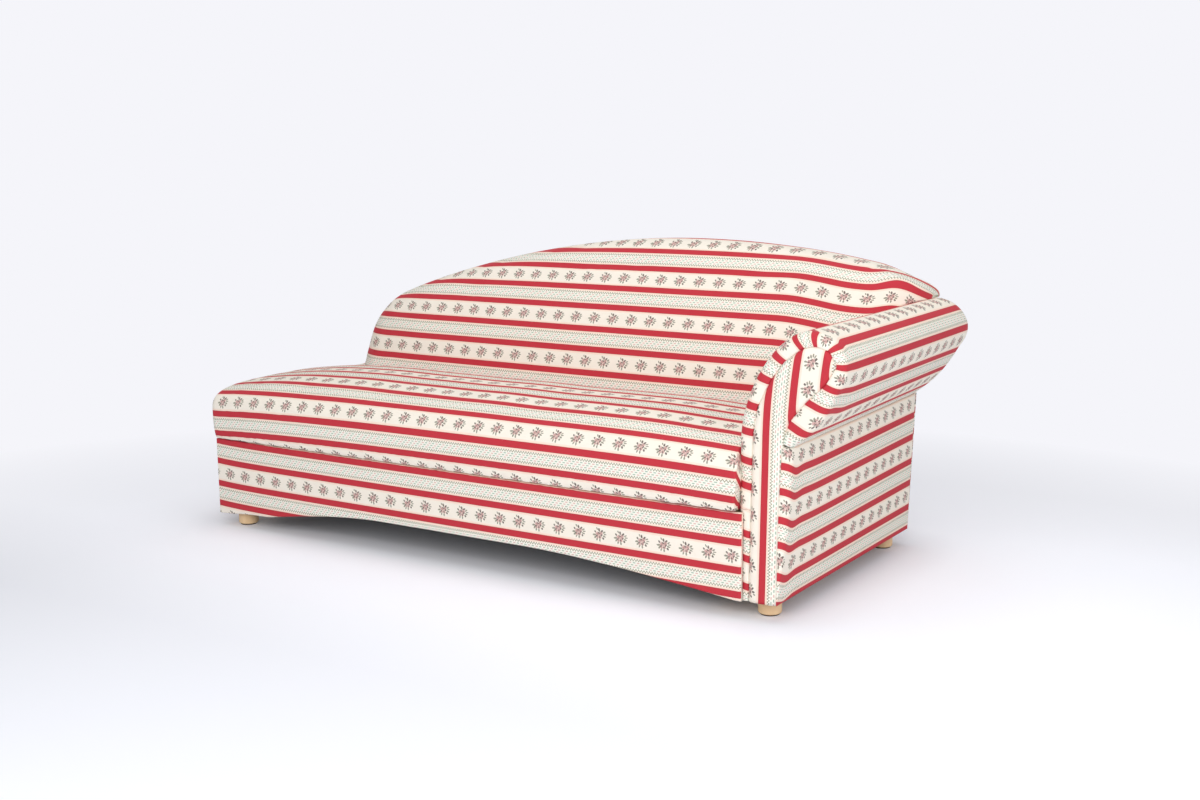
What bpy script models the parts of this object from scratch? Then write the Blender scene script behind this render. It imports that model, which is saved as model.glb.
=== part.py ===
"""Three-seat settee with one scroll arm, an arched back and turned feet.

Datum: x = 0 on the outer side of the arm, y = 0 on the front of the base, z = 0 on the floor.
The open end is at -X, the arm at +X and the back at +Y. An empty then brings the middle of the
footprint to the world's origin. Lengths are in metres.
"""

import math

import bmesh
import bpy
from mathutils import Vector

# Clearances
GAP = 0.0003
HOLE_CLEARANCE = 0.0006

# Whole settee, from the seat's open end to the outermost point of the arm's roll at its front
SETTEE_LENGTH = 2.008

# Base box
BASE_DEPTH = 0.85
BASE_HEIGHT = 0.216
COVER_THICKNESS = 0.012
RAIL_THICKNESS = 0.025
ARCH_RISE = 0.045
ARCH_LEFT_FLAT = 0.20
ARCH_LEFT_RUN = 0.45
ARCH_RIGHT_RUN = 0.65
ARCH_STEPS = 9
BLOCK_SIZE = 0.07
BLOCK_BELOW_RAIL = 0.06
STRETCHER_COUNT = 2
STRETCHER_HEIGHT = 0.10
STRETCHER_BELOW_RAIL = 0.03
DUST_COVER_THICKNESS = 0.0015

# Feet, their glides and bolts
FOOT_HEIGHT = 0.046
FOOT_RADIUS = 0.029
FOOT_EDGE = 0.003
FOOT_INSET_X = 0.028
FOOT_INSET_Y = 0.016
ARM_FOOT_INSET = 0.042
GLIDE_THICKNESS = 0.003
GLIDE_RADIUS = 0.024
BOLT_RADIUS = 0.004
BOLT_HEAD_RADIUS = 0.009
BOLT_HEAD_HEIGHT = 0.005
FOOT_BOLT_IN_FOOT = 0.026
FOOT_BOLT_IN_FRAME = 0.045
ARM_BOLT_RISE = 0.032
ARM_BOLT_GRIP = 0.03
ARM_BOLT_COUNT = 2
TURNED_STEPS = 24
BOLT_STEPS = 16

# Seat springs and platform
SPRING_COUNT = 7
SPRING_WIRE = 0.0036
SPRING_SWING = 0.022
SPRING_PITCH = 0.055
PLATFORM_THICKNESS = 0.004

# Seat cushion
SEAM_OPENING = 0.005
SEAT_OVERHANG = 0.006
SEAT_BULGE = 0.018
SEAT_TUCK = 0.016
SEAT_LEDGE_RISE = 0.138
SEAT_CROWN = 0.058
SEAT_BULGE_RISE = 0.073
SEAT_CREST_DEPTH = 0.27
SEAT_TUCK_POWER = 2.0
SEAT_FRONT_POWER = 2.6
SEAT_REAR_POWER = 2.2
SEAT_END_ROUND = 0.03
SEAT_ARM_ROUND = 0.014
SEAT_END_DROP = 0.043
SEAT_ARM_DROP = 0.012
SEAT_DROP_RUN = 0.25
SEAT_END_POWER = 1.4
SEAT_TUCK_STEPS = 3
SEAT_FRONT_STEPS = 8
SEAT_REAR_STEPS = 6
SEAT_END_STEPS = 4
SEAT_ARM_STEPS = 3
SEAT_MIDDLE_STEPS = 7

# Back
BACK_HEIGHT = 0.846
BACK_RAKE = math.radians(5.0)
BACK_LEAN = math.radians(24.0)
BACK_CREASE_DEPTH = 0.466
BACK_APEX_FROM_ARM = 0.62
BACK_LEFT_ARCH = 2.72
BACK_RIGHT_ARCH = 3.1
BACK_SHORT_OF_END = 0.106
BACK_SHOULDER_RUN = 0.155
BACK_LEFT_POWER = 3.0
BACK_RIGHT_POWER = 2.2
BACK_LEFT_ROUND = 0.12
BACK_RIGHT_ROUND = 0.20
BACK_TOP_ROUND = 0.15
BACK_REAR_POWER = 2.2
BACK_FULL_ROUND_HEIGHT = 0.22
BACK_END_HEIGHT = 0.012
BACK_TUCK = 0.018
BACK_WRAP = 0.085
BACK_STEP_MIN = 0.004
BACK_FRONT_STEPS = 4
BACK_TOP_STEPS = 5
BACK_REAR_STEPS = 6
BACK_MIDDLE_STEPS = 9
BACK_SHOULDER_STEPS = 8
PANEL_THICKNESS = 0.006
PANEL_MARGIN = 0.004
POST_THICKNESS = 0.03
POST_WIDTH = 0.05
POST_COUNT = 4
POST_SHOULDER = 0.04
TOP_RAIL_HEIGHT = 0.07
WEB_THICKNESS = 0.002
WEB_WIDTH = 0.05
WEB_COUNT = 5
WEB_MARGIN = 0.01

# Arm
ARM_WIDTH = 0.105
ARM_STEP = 0.003
ARM_EDGE_ROUND = 0.02
ARM_PAD_THICKNESS = 0.033
ARM_OUTER_THICKNESS = 0.033
ARM_FACING_THICKNESS = 0.012
ARM_BOARD_THICKNESS = 0.018
ARM_SWEEP_START = 0.44
ARM_SWEEP_POWER = 1.7
ARM_SWEEP_STEPS = 8
ARM_UNDERSIDE_HEIGHT = 0.445
ROLL_REACH = 0.066
ROLL_HEIGHT = 0.622
ROLL_RADIUS = 0.079
ROLL_SPREAD = 0.016
ROLL_STEPS = 9
UNDERSIDE_BULGE = 0.015
UNDERSIDE_SPREAD = 0.03
UNDERSIDE_STEPS = 4
ARM_SIDE_STEPS = 5
ARM_EDGE_STEPS = 3
ARM_TOP_RAIL_SIZE = 0.036
ARM_LOWER_RAIL_RISE = 0.30
ARM_LOWER_RAIL_HEIGHT = 0.05
ARM_BOTTOM_RAIL_HEIGHT = 0.08

# Heights and places that follow from the sizes above
BASE_BOTTOM = FOOT_HEIGHT + GAP
BASE_TOP = BASE_BOTTOM + BASE_HEIGHT
SEAT_BOTTOM = BASE_TOP + SEAM_OPENING
PLATFORM_BOTTOM = SEAT_BOTTOM - GAP - PLATFORM_THICKNESS
SPRING_MIDDLE = PLATFORM_BOTTOM - GAP - SPRING_WIRE / 2
RAIL_TOP = SPRING_MIDDLE - SPRING_WIRE / 2 - GAP
SEAT_LEDGE = SEAT_BOTTOM + SEAT_LEDGE_RISE
BACK_BOTTOM = SEAT_LEDGE + GAP
ARM_INNER = -ARM_WIDTH
ARM_REACH = ROLL_REACH + ROLL_RADIUS + ROLL_SPREAD
LEFT_END = ARM_REACH - SETTEE_LENGTH + SEAT_OVERHANG
RAIL_LEFT = LEFT_END + COVER_THICKNESS + GAP
RAIL_RIGHT = ARM_INNER - GAP
RAIL_FRONT = COVER_THICKNESS + GAP
BAY_LEFT = RAIL_LEFT + RAIL_THICKNESS + GAP
BAY_RIGHT = RAIL_RIGHT - RAIL_THICKNESS - GAP
BAY_FRONT = RAIL_FRONT + RAIL_THICKNESS + GAP
ARM_FRONT = COVER_THICKNESS + ARM_STEP
ARM_CREST = ROLL_HEIGHT + ROLL_RADIUS
POST_DEPTH = PANEL_THICKNESS + GAP + POST_THICKNESS
STACK_DEPTH = POST_DEPTH + GAP + WEB_THICKNESS
BACK_LEFT_END = LEFT_END + BACK_SHORT_OF_END


def rear_y(height, depth=0.0):
    """Depth of the raked rear plane at a height, or of a plane that lies inside it."""
    return BASE_DEPTH + height * math.tan(BACK_RAKE) - depth / math.cos(BACK_RAKE)


def along_rake(height, depth):
    """Distance up the raked plane that gives a height at a depth inside it."""
    return (height - depth * math.sin(BACK_RAKE)) / math.cos(BACK_RAKE)


RAIL_REAR = rear_y(BASE_BOTTOM, PANEL_THICKNESS) - GAP
BAY_REAR = RAIL_REAR - RAIL_THICKNESS - GAP
SEAT_REAR = rear_y(SEAT_BOTTOM, STACK_DEPTH) - GAP
SEAT_END_REAR = rear_y(SEAT_BOTTOM, PANEL_THICKNESS) - GAP
POST_LEFT = BACK_LEFT_END + BACK_SHOULDER_RUN + POST_SHOULDER
POST_RIGHT = ARM_INNER - BACK_STEP_MIN - GAP
SEAT_NOTCH = POST_LEFT - 2 * BACK_STEP_MIN
CENTRE_X = ARM_REACH - SETTEE_LENGTH / 2
CENTRE_Y = (rear_y(BACK_HEIGHT - BACK_WRAP) - SEAT_BULGE) / 2

FABRIC = ("striped_cloth", (0.83, 0.74, 0.60), 0.9, 0.0)
FRAME_WOOD = ("frame_wood", (0.62, 0.46, 0.28), 0.7, 0.0)
BEECH = ("beech", (0.78, 0.56, 0.33), 0.45, 0.0)
STEEL = ("spring_steel", (0.55, 0.55, 0.56), 0.35, 1.0)
WEBBING = ("webbing", (0.30, 0.27, 0.22), 0.9, 0.0)
DUST_CLOTH = ("dust_cloth", (0.06, 0.06, 0.06), 0.95, 0.0)
GLIDE = ("glide_plastic", (0.10, 0.08, 0.07), 0.5, 0.0)


def clear_scene():
    for obj in list(bpy.data.objects):
        bpy.data.objects.remove(obj, do_unlink=True)


def new_collection(name):
    collection = bpy.data.collections.new(name)
    bpy.context.scene.collection.children.link(collection)
    return collection


def material(finish):
    name, colour, roughness, metallic = finish
    found = bpy.data.materials.get(name)
    if found:
        return found
    made = bpy.data.materials.new(name)
    made.use_nodes = True
    shader = made.node_tree.nodes["Principled BSDF"]
    shader.inputs["Base Color"].default_value = (*colour, 1.0)
    shader.inputs["Roughness"].default_value = roughness
    shader.inputs["Metallic"].default_value = metallic
    return made


clear_scene()
PARTS = new_collection("settee")
CUTTERS = new_collection("settee_cutters")


def new_empty(name, location, parent=None):
    empty = bpy.data.objects.new(name, None)
    empty.location = location
    empty.parent = parent
    PARTS.objects.link(empty)
    return empty


ORIGIN = new_empty("settee_origin", (-CENTRE_X, -CENTRE_Y, 0.0))
TILT = new_empty("back_tilt", (0.0, BASE_DEPTH, 0.0), ORIGIN)
TILT.rotation_euler = (-BACK_RAKE, 0.0, 0.0)


def add_part(name, data, finish, parent=None):
    obj = bpy.data.objects.new(name, data)
    data.materials.append(material(finish))
    obj.parent = parent or ORIGIN
    PARTS.objects.link(obj)
    return obj


def mesh_from(bm, name):
    bmesh.ops.recalc_face_normals(bm, faces=bm.faces)
    mesh = bpy.data.meshes.new(name)
    bm.to_mesh(mesh)
    bm.free()
    return mesh


def box(name, low, high, finish, parent=None):
    """A board between two corners."""
    size = Vector(high) - Vector(low)
    bm = bmesh.new()
    bmesh.ops.create_cube(bm, size=1.0)
    bmesh.ops.scale(bm, vec=size, verts=bm.verts)
    obj = add_part(name, mesh_from(bm, name), finish, parent)
    obj.location = (Vector(low) + Vector(high)) / 2
    return obj


def sheet(name, outline, thickness, finish, parent=None):
    """A flat outline with a thickness, lying in its own XY plane."""
    curve = bpy.data.curves.new(name, "CURVE")
    curve.dimensions = "2D"
    curve.fill_mode = "BOTH"
    curve.extrude = thickness / 2
    spline = curve.splines.new("POLY")
    spline.points.add(len(outline) - 1)
    for point, (u, v) in zip(spline.points, outline):
        point.co = (u, v, 0.0, 1.0)
    spline.use_cyclic_u = True
    return add_part(name, curve, finish, parent)


def front_plate(name, outline, low, thickness, finish, parent=None):
    """An outline in x and z that runs back from y = low by its thickness."""
    obj = sheet(name, outline, thickness, finish, parent)
    obj.rotation_euler = (math.pi / 2, 0.0, 0.0)
    obj.location.y = low + thickness / 2
    return obj


def side_plate(name, outline, low, thickness, finish):
    """An outline in y and z that runs right from x = low by its thickness."""
    obj = sheet(name, outline, thickness, finish)
    obj.rotation_euler = (math.pi / 2, 0.0, math.pi / 2)
    obj.location.x = low + thickness / 2
    return obj


def loft(name, rings, finish):
    """One closed body through rings with the same number of points, capped at both ends."""
    bm = bmesh.new()
    loops = [[bm.verts.new(point) for point in ring] for ring in rings]
    for loop, following in zip(loops, loops[1:]):
        for i in range(len(loop)):
            j = (i + 1) % len(loop)
            bm.faces.new((loop[i], loop[j], following[j], following[i]))
    bm.faces.new(loops[0])
    bm.faces.new(loops[-1])
    mesh = mesh_from(bm, name)
    mesh.shade_smooth()
    mesh.set_sharp_from_angle(angle=math.radians(35))
    return add_part(name, mesh, finish)


def turned(name, profile, steps, finish):
    """A profile of (radius, height), listed from the top down, turned about Z."""
    mesh = bpy.data.meshes.new(name)
    points = [(radius, 0.0, height) for radius, height in profile]
    edges = [(i, i + 1) for i in range(len(points) - 1)]
    mesh.from_pydata(points, edges, [])
    obj = add_part(name, mesh, finish)
    screw = obj.modifiers.new("turn", "SCREW")
    screw.steps = steps
    screw.render_steps = steps
    screw.use_merge_vertices = True
    screw.merge_threshold = 0.00005
    screw.use_smooth_shade = False
    return obj


def wire(name, points, diameter, finish):
    curve = bpy.data.curves.new(name, "CURVE")
    curve.dimensions = "3D"
    curve.bevel_depth = diameter / 2
    curve.bevel_resolution = 1
    curve.use_fill_caps = True
    spline = curve.splines.new("POLY")
    spline.points.add(len(points) - 1)
    for point, place in zip(spline.points, points):
        point.co = (*place, 1.0)
    return add_part(name, curve, finish)


def bolt_cutter(name, length, location, rotation):
    """A round cutter for a bolt hole that runs along its own Z from its location."""
    bm = bmesh.new()
    radius = BOLT_RADIUS + HOLE_CLEARANCE
    ends = {"radius1": radius, "radius2": radius, "depth": length}
    bmesh.ops.create_cone(bm, cap_ends=True, segments=BOLT_STEPS, **ends)
    bmesh.ops.translate(bm, vec=(0.0, 0.0, length / 2), verts=bm.verts)
    obj = bpy.data.objects.new(name, mesh_from(bm, name))
    obj.parent = ORIGIN
    obj.location = location
    obj.rotation_euler = rotation
    obj.hide_render = True
    obj.display_type = "WIRE"
    CUTTERS.objects.link(obj)
    return obj


def cut(obj, cutter):
    boolean = obj.modifiers.new("hole", "BOOLEAN")
    boolean.operation = "DIFFERENCE"
    boolean.solver = "EXACT"
    boolean.object = cutter


def spread(low, high, count):
    """Places with equal bays between two ends, leaving out the ends."""
    return [low + (high - low) * (i + 1) / (count + 1) for i in range(count)]


def between(low, high, steps):
    """Places from one end to the other, with both ends."""
    return [low + (high - low) * i / steps for i in range(steps + 1)]


def quarter(start, end, power, steps, upright_first):
    """A quarter of a superellipse from one point to another, without its start.

    It leaves its start upright and arrives level, or the other way round.
    """
    points = []
    for angle in between(0.0, math.pi / 2, steps)[1:]:
        slow = 1.0 - max(math.cos(angle), 0.0) ** (2.0 / power)
        fast = math.sin(angle) ** (2.0 / power)
        across, up = (slow, fast) if upright_first else (fast, slow)
        points.append((start[0] + (end[0] - start[0]) * across, start[1] + (end[1] - start[1]) * up))
    return points


# Base


def arch_bottom(x):
    """Height of the base's lower edge, which arches up between the feet."""
    from_left = min(max((x - LEFT_END - ARCH_LEFT_FLAT) / ARCH_LEFT_RUN, 0.0), 1.0)
    from_right = min(max((ARM_INNER - x) / ARCH_RIGHT_RUN, 0.0), 1.0)
    rise = math.sin(from_left * math.pi / 2) * math.sin(from_right * math.pi / 2)
    return BASE_BOTTOM + ARCH_RISE * rise


def arched_outline(left, right, top):
    """A board with a straight top and the base's arched lower edge."""
    stations = [left]
    stations += between(LEFT_END + ARCH_LEFT_FLAT, LEFT_END + ARCH_LEFT_FLAT + ARCH_LEFT_RUN, ARCH_STEPS)
    stations += between(ARM_INNER - ARCH_RIGHT_RUN, ARM_INNER - ARCH_RIGHT_RUN / ARCH_STEPS, ARCH_STEPS - 1)
    stations.append(right)
    return [(x, arch_bottom(x)) for x in stations] + [(right, top), (left, top)]


def build_base():
    cover_right = ARM_INNER + ARM_EDGE_ROUND - ARM_STEP
    cover_outline = arched_outline(LEFT_END, cover_right, BASE_TOP)
    front_plate("base_front_cover", cover_outline, 0.0, COVER_THICKNESS, FABRIC)
    end_outline = [
        (RAIL_FRONT, BASE_BOTTOM),
        (rear_y(BASE_BOTTOM, PANEL_THICKNESS) - GAP, BASE_BOTTOM),
        (rear_y(BASE_TOP, PANEL_THICKNESS) - GAP, BASE_TOP),
        (RAIL_FRONT, BASE_TOP),
    ]
    side_plate("base_left_cover", end_outline, LEFT_END, COVER_THICKNESS, FABRIC)
    rail_outline = arched_outline(RAIL_LEFT, RAIL_RIGHT, RAIL_TOP)
    front_plate("front_rail", rail_outline, RAIL_FRONT, RAIL_THICKNESS, FRAME_WOOD)
    rear_low = (RAIL_LEFT, RAIL_REAR - RAIL_THICKNESS, BASE_BOTTOM)
    box("rear_rail", rear_low, (RAIL_RIGHT, RAIL_REAR, RAIL_TOP), FRAME_WOOD)
    left_high = (RAIL_LEFT + RAIL_THICKNESS, BAY_REAR, RAIL_TOP)
    box("left_end_rail", (RAIL_LEFT, BAY_FRONT, BASE_BOTTOM), left_high, FRAME_WOOD)
    right_low = (RAIL_RIGHT - RAIL_THICKNESS, BAY_FRONT, BASE_BOTTOM)
    right_rail = box("right_end_rail", right_low, (RAIL_RIGHT, BAY_REAR, RAIL_TOP), FRAME_WOOD)
    stretcher_top = RAIL_TOP - STRETCHER_BELOW_RAIL
    stretcher_bottom = stretcher_top - STRETCHER_HEIGHT
    for number, middle in enumerate(spread(BAY_LEFT, BAY_RIGHT, STRETCHER_COUNT), 1):
        low = (middle - RAIL_THICKNESS / 2, BAY_FRONT, stretcher_bottom)
        high = (middle + RAIL_THICKNESS / 2, BAY_REAR, stretcher_top)
        box(f"stretcher_{number}", low, high, FRAME_WOOD)
    build_dust_cover(stretcher_bottom - GAP - DUST_COVER_THICKNESS / 2)
    return right_rail, build_corner_blocks()


def build_dust_cover(height):
    """The thin cloth under the frame, notched round the corner blocks."""
    notch = BLOCK_SIZE + GAP
    outline = [
        (BAY_LEFT + notch, BAY_FRONT),
        (BAY_RIGHT - notch, BAY_FRONT),
        (BAY_RIGHT - notch, BAY_FRONT + notch),
        (BAY_RIGHT, BAY_FRONT + notch),
        (BAY_RIGHT, BAY_REAR - notch),
        (BAY_RIGHT - notch, BAY_REAR - notch),
        (BAY_RIGHT - notch, BAY_REAR),
        (BAY_LEFT + notch, BAY_REAR),
        (BAY_LEFT + notch, BAY_REAR - notch),
        (BAY_LEFT, BAY_REAR - notch),
        (BAY_LEFT, BAY_FRONT + notch),
        (BAY_LEFT + notch, BAY_FRONT + notch),
    ]
    cloth = sheet("dust_cover", outline, DUST_COVER_THICKNESS, DUST_CLOTH)
    cloth.location.z = height


def build_corner_blocks():
    blocks = {}
    for side, x in (("left", BAY_LEFT), ("right", BAY_RIGHT - BLOCK_SIZE)):
        for end, y in (("front", BAY_FRONT), ("rear", BAY_REAR - BLOCK_SIZE)):
            name = f"corner_block_{end}_{side}"
            high = (x + BLOCK_SIZE, y + BLOCK_SIZE, RAIL_TOP - BLOCK_BELOW_RAIL)
            blocks[end, side] = box(name, (x, y, BASE_BOTTOM), high, FRAME_WOOD)
    return blocks


# Seat


def build_seat_support():
    """Sinuous springs from rail to rail with a platform sheet over them."""
    front = RAIL_FRONT + SPRING_WIRE
    rear = rear_y(RAIL_TOP, POST_DEPTH) - SPRING_WIRE
    bends = max(round((rear - front) / SPRING_PITCH), 2)
    for number, middle in enumerate(spread(BAY_LEFT, BAY_RIGHT, SPRING_COUNT), 1):
        points = [(middle, front, SPRING_MIDDLE)]
        for i, y in enumerate(between(front, rear, bends)[1:-1]):
            side = SPRING_SWING if i % 2 else -SPRING_SWING
            points.append((middle + side, y - SPRING_PITCH / 4, SPRING_MIDDLE))
            points.append((middle + side, y + SPRING_PITCH / 4, SPRING_MIDDLE))
        points.append((middle, rear, SPRING_MIDDLE))
        wire(f"seat_spring_{number}", points, SPRING_WIRE, STEEL)
    low = (RAIL_LEFT, RAIL_FRONT, PLATFORM_BOTTOM)
    platform_rear = rear_y(PLATFORM_BOTTOM, STACK_DEPTH) - GAP
    high = (RAIL_RIGHT, platform_rear, PLATFORM_BOTTOM + PLATFORM_THICKNESS)
    box("seat_platform", low, high, WEBBING)


def seat_section(inset, drop, boxed, rear):
    """The seat's outline in y and z: drawn-in front, crown, and the ledge under the back."""
    front = inset - SEAT_BULGE
    ledge = SEAT_LEDGE - inset
    crest = (SEAT_CREST_DEPTH, SEAT_LEDGE + SEAT_CROWN - inset - drop)
    widest = (front, SEAT_BOTTOM + SEAT_BULGE_RISE)
    lowest = (front + SEAT_TUCK, SEAT_BOTTOM)
    points = [lowest]
    points += quarter(lowest, widest, SEAT_TUCK_POWER, SEAT_TUCK_STEPS, upright_first=False)
    points += quarter(widest, crest, SEAT_FRONT_POWER + boxed, SEAT_FRONT_STEPS, upright_first=True)
    crease = (BACK_CREASE_DEPTH, ledge)
    points += quarter(crest, crease, SEAT_REAR_POWER, SEAT_REAR_STEPS, upright_first=False)
    points.append((rear - inset - SEAT_TUCK, ledge))
    points.append((rear - inset, ledge - SEAT_TUCK))
    points.append((rear - inset, SEAT_BOTTOM))
    return points


def fade(distance):
    """One at an end of the seat, easing to nothing along the seat."""
    return 1.0 - math.sin(min(distance / SEAT_DROP_RUN, 1.0) * math.pi / 2)


def build_seat():
    """The seat runs back to the outside back at its open end and stops at the posts elsewhere."""
    left = LEFT_END - SEAT_OVERHANG
    right = RAIL_RIGHT
    stations = []
    for angle in between(0.0, math.pi / 2, SEAT_END_STEPS):
        inset = SEAT_END_ROUND * (1.0 - math.sin(angle))
        stations.append((left + SEAT_END_ROUND * (1.0 - math.cos(angle)), inset))
    stations += [(x, 0.0) for x in between(left + SEAT_END_ROUND, SEAT_NOTCH, SEAT_END_STEPS)[1:]]
    inner = between(SEAT_NOTCH + BACK_STEP_MIN, right - SEAT_ARM_ROUND, SEAT_MIDDLE_STEPS)
    stations += [(x, 0.0) for x in inner[:-1]]
    for angle in between(math.pi / 2, 0.0, SEAT_ARM_STEPS):
        inset = SEAT_ARM_ROUND * (1.0 - math.sin(angle))
        stations.append((right - SEAT_ARM_ROUND * (1.0 - math.cos(angle)), inset))
    rings = []
    for x, inset in stations:
        rear = SEAT_END_REAR if x <= SEAT_NOTCH else SEAT_REAR
        open_end = fade(x - left)
        drop = SEAT_END_DROP * open_end + SEAT_ARM_DROP * fade(right - x)
        section = seat_section(inset, drop, SEAT_END_POWER * open_end, rear)
        rings.append([(x, y, z) for y, z in section])
    loft("seat_cushion", rings, FABRIC)


# Arm


def arm_path():
    """The arm's outline from the foot of its inner face, over the roll, to its outer side."""
    start = (ARM_INNER, ARM_SWEEP_START)
    points = [(ARM_INNER, BASE_BOTTOM), start]
    points += quarter(start, (ROLL_REACH, ARM_CREST), ARM_SWEEP_POWER, ARM_SWEEP_STEPS, upright_first=True)
    rise = ROLL_HEIGHT - ARM_UNDERSIDE_HEIGHT
    slant = math.atan2(rise, ROLL_REACH) - math.asin(ROLL_RADIUS / math.hypot(rise, ROLL_REACH))
    for angle in between(math.pi / 2, slant - math.pi / 2, ROLL_STEPS)[1:]:
        x = ROLL_REACH + ROLL_RADIUS * math.cos(angle)
        points.append((x, ROLL_HEIGHT + ROLL_RADIUS * math.sin(angle)))
    low = Vector((0.0, ARM_UNDERSIDE_HEIGHT))
    high = Vector(points[-1])
    outward = Vector((high.y - low.y, low.x - high.x)).normalized()
    for share in between(0.0, 1.0, UNDERSIDE_STEPS)[1:]:
        place = high.lerp(low, share) + outward * UNDERSIDE_BULGE * math.sin(share * math.pi)
        points.append((place.x, place.y))
    return points


def arm_spread(x, z):
    """How far the arm's outer side stands out at its front, beyond the same point at its rear."""
    if z > ROLL_HEIGHT:
        return ROLL_SPREAD * max(x - ROLL_REACH, 0.0) / ROLL_RADIUS
    if z > ARM_UNDERSIDE_HEIGHT:
        share = (ROLL_HEIGHT - z) / (ROLL_HEIGHT - ARM_UNDERSIDE_HEIGHT)
        return ROLL_SPREAD + (UNDERSIDE_SPREAD - ROLL_SPREAD) * share**2
    share = (z - BASE_BOTTOM) / (ARM_UNDERSIDE_HEIGHT - BASE_BOTTOM)
    return UNDERSIDE_SPREAD * math.sin(share * math.pi / 2)


def arm_front_path():
    """The arm's outline at its front, which spreads on the outer side of the roll."""
    path = arm_path()
    inner = path[:2 + ARM_SWEEP_STEPS]
    outer = path[2 + ARM_SWEEP_STEPS:]
    return inner + [(x + arm_spread(x, z), z) for x, z in outer]


def inward(points, depth):
    """The same open outline moved into the arm by a depth."""
    normals = []
    for (x0, z0), (x1, z1) in zip(points, points[1:]):
        length = math.hypot(x1 - x0, z1 - z0)
        normals.append(Vector(((z1 - z0) / length, (x0 - x1) / length)))
    moved = []
    for i, point in enumerate(points):
        before = normals[max(i - 1, 0)]
        after = normals[min(i, len(normals) - 1)]
        middle = (before + after).normalized()
        place = Vector(point) + middle * depth / middle.dot(after)
        moved.append((place.x, place.y))
    return moved


def arm_core():
    """The closed outline inside the arm's padding and outer panel."""
    points = inward(arm_path(), ARM_PAD_THICKNESS + GAP)
    outer = min(points[-1][0], -ARM_OUTER_THICKNESS) - GAP
    points.append((points[-1][0], ARM_UNDERSIDE_HEIGHT))
    return points + [(outer, ARM_UNDERSIDE_HEIGHT), (outer, BASE_BOTTOM)]


def build_arm_pad():
    """The padding over the arm's inner face and roll, with a rounded front edge and a level lower end."""
    path = arm_path()
    front_path = arm_front_path()
    lining = inward(path, ARM_PAD_THICKNESS)
    lining.append((lining[-1][0], ARM_UNDERSIDE_HEIGHT))
    lining.reverse()
    rings = []
    for angle in between(0.0, math.pi / 2, ARM_EDGE_STEPS):
        y = ARM_FRONT + ARM_EDGE_ROUND * (1.0 - math.cos(angle))
        skin = inward(front_path, ARM_EDGE_ROUND * (1.0 - math.sin(angle)))
        skin[-1] = (skin[-1][0], ARM_UNDERSIDE_HEIGHT)
        rings.append([(x, y, z) for x, z in skin + lining])
    rings.append([(x, rear_y(z, PANEL_THICKNESS) - GAP, z) for x, z in path + lining])
    return loft("arm_pad", rings, FABRIC)


def build_arm_outer_panel():
    """The arm's outer side, upright at its rear and leaning out with the roll at its front."""
    rings = []
    for z in between(BASE_BOTTOM, ARM_UNDERSIDE_HEIGHT - GAP, ARM_SIDE_STEPS):
        edge = arm_spread(0.0, z)
        ring = [(-ARM_OUTER_THICKNESS, ARM_FRONT)]
        for angle in between(0.0, math.pi / 2, ARM_EDGE_STEPS):
            x = edge - ARM_EDGE_ROUND * (1.0 - math.sin(angle))
            ring.append((x, ARM_FRONT + ARM_EDGE_ROUND * (1.0 - math.cos(angle))))
        rear = rear_y(z, PANEL_THICKNESS) - GAP
        ring += [(0.0, rear), (-ARM_OUTER_THICKNESS, rear)]
        rings.append([(x, y, z) for x, y in ring])
    loft("arm_outer_panel", rings, FABRIC)


def build_arm():
    pad = build_arm_pad()
    build_arm_outer_panel()
    core = arm_core()
    front_plate("arm_facing", core, ARM_FRONT, ARM_FACING_THICKNESS, FABRIC)
    board_front = ARM_FRONT + ARM_FACING_THICKNESS + GAP
    front_plate("arm_front_board", core, board_front, ARM_BOARD_THICKNESS, FRAME_WOOD)
    front_plate("arm_rear_board", core, RAIL_REAR - ARM_BOARD_THICKNESS, ARM_BOARD_THICKNESS, FRAME_WOOD)

    front = board_front + ARM_BOARD_THICKNESS + GAP
    rear = RAIL_REAR - ARM_BOARD_THICKNESS - GAP
    inner = core[0][0]
    outer = core[-1][0]
    half = ARM_TOP_RAIL_SIZE / 2
    top_low = (ROLL_REACH - half, front, ROLL_HEIGHT - half)
    box("arm_top_rail", top_low, (ROLL_REACH + half, rear, ROLL_HEIGHT + half), FRAME_WOOD)
    lower_top = ARM_LOWER_RAIL_RISE + ARM_LOWER_RAIL_HEIGHT
    box("arm_lower_rail", (inner, front, ARM_LOWER_RAIL_RISE), (outer, rear, lower_top), FRAME_WOOD)
    bottom_high = (outer, rear, BASE_BOTTOM + ARM_BOTTOM_RAIL_HEIGHT)
    bottom_rail = box("arm_bottom_rail", (inner, front, BASE_BOTTOM), bottom_high, FRAME_WOOD)
    return pad, bottom_rail, (inner + outer) / 2, front, rear


# Back


def arch_height(x):
    """Height of the back's top on its long arc."""
    away = x + BACK_APEX_FROM_ARM
    radius = BACK_LEFT_ARCH if away < 0.0 else BACK_RIGHT_ARCH
    return BACK_HEIGHT - radius + math.sqrt(radius**2 - away**2)


def shoulder(height, low, share, power):
    """The arc's height eased down to the end of the back."""
    return low + (height - low) * (1.0 - share**power) ** (1.0 / power)


def back_top(x):
    left_share = (BACK_LEFT_END + BACK_SHOULDER_RUN - x) / BACK_SHOULDER_RUN
    if left_share > 0.0:
        return shoulder(arch_height(x), BACK_BOTTOM + BACK_END_HEIGHT, min(left_share, 1.0), BACK_LEFT_POWER)
    right_share = (x - ARM_INNER) / (ROLL_REACH - GAP - ARM_INNER)
    if right_share > 0.0:
        return shoulder(arch_height(x), ARM_CREST + BACK_END_HEIGHT, min(right_share, 1.0), BACK_RIGHT_POWER)
    return arch_height(x)


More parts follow.
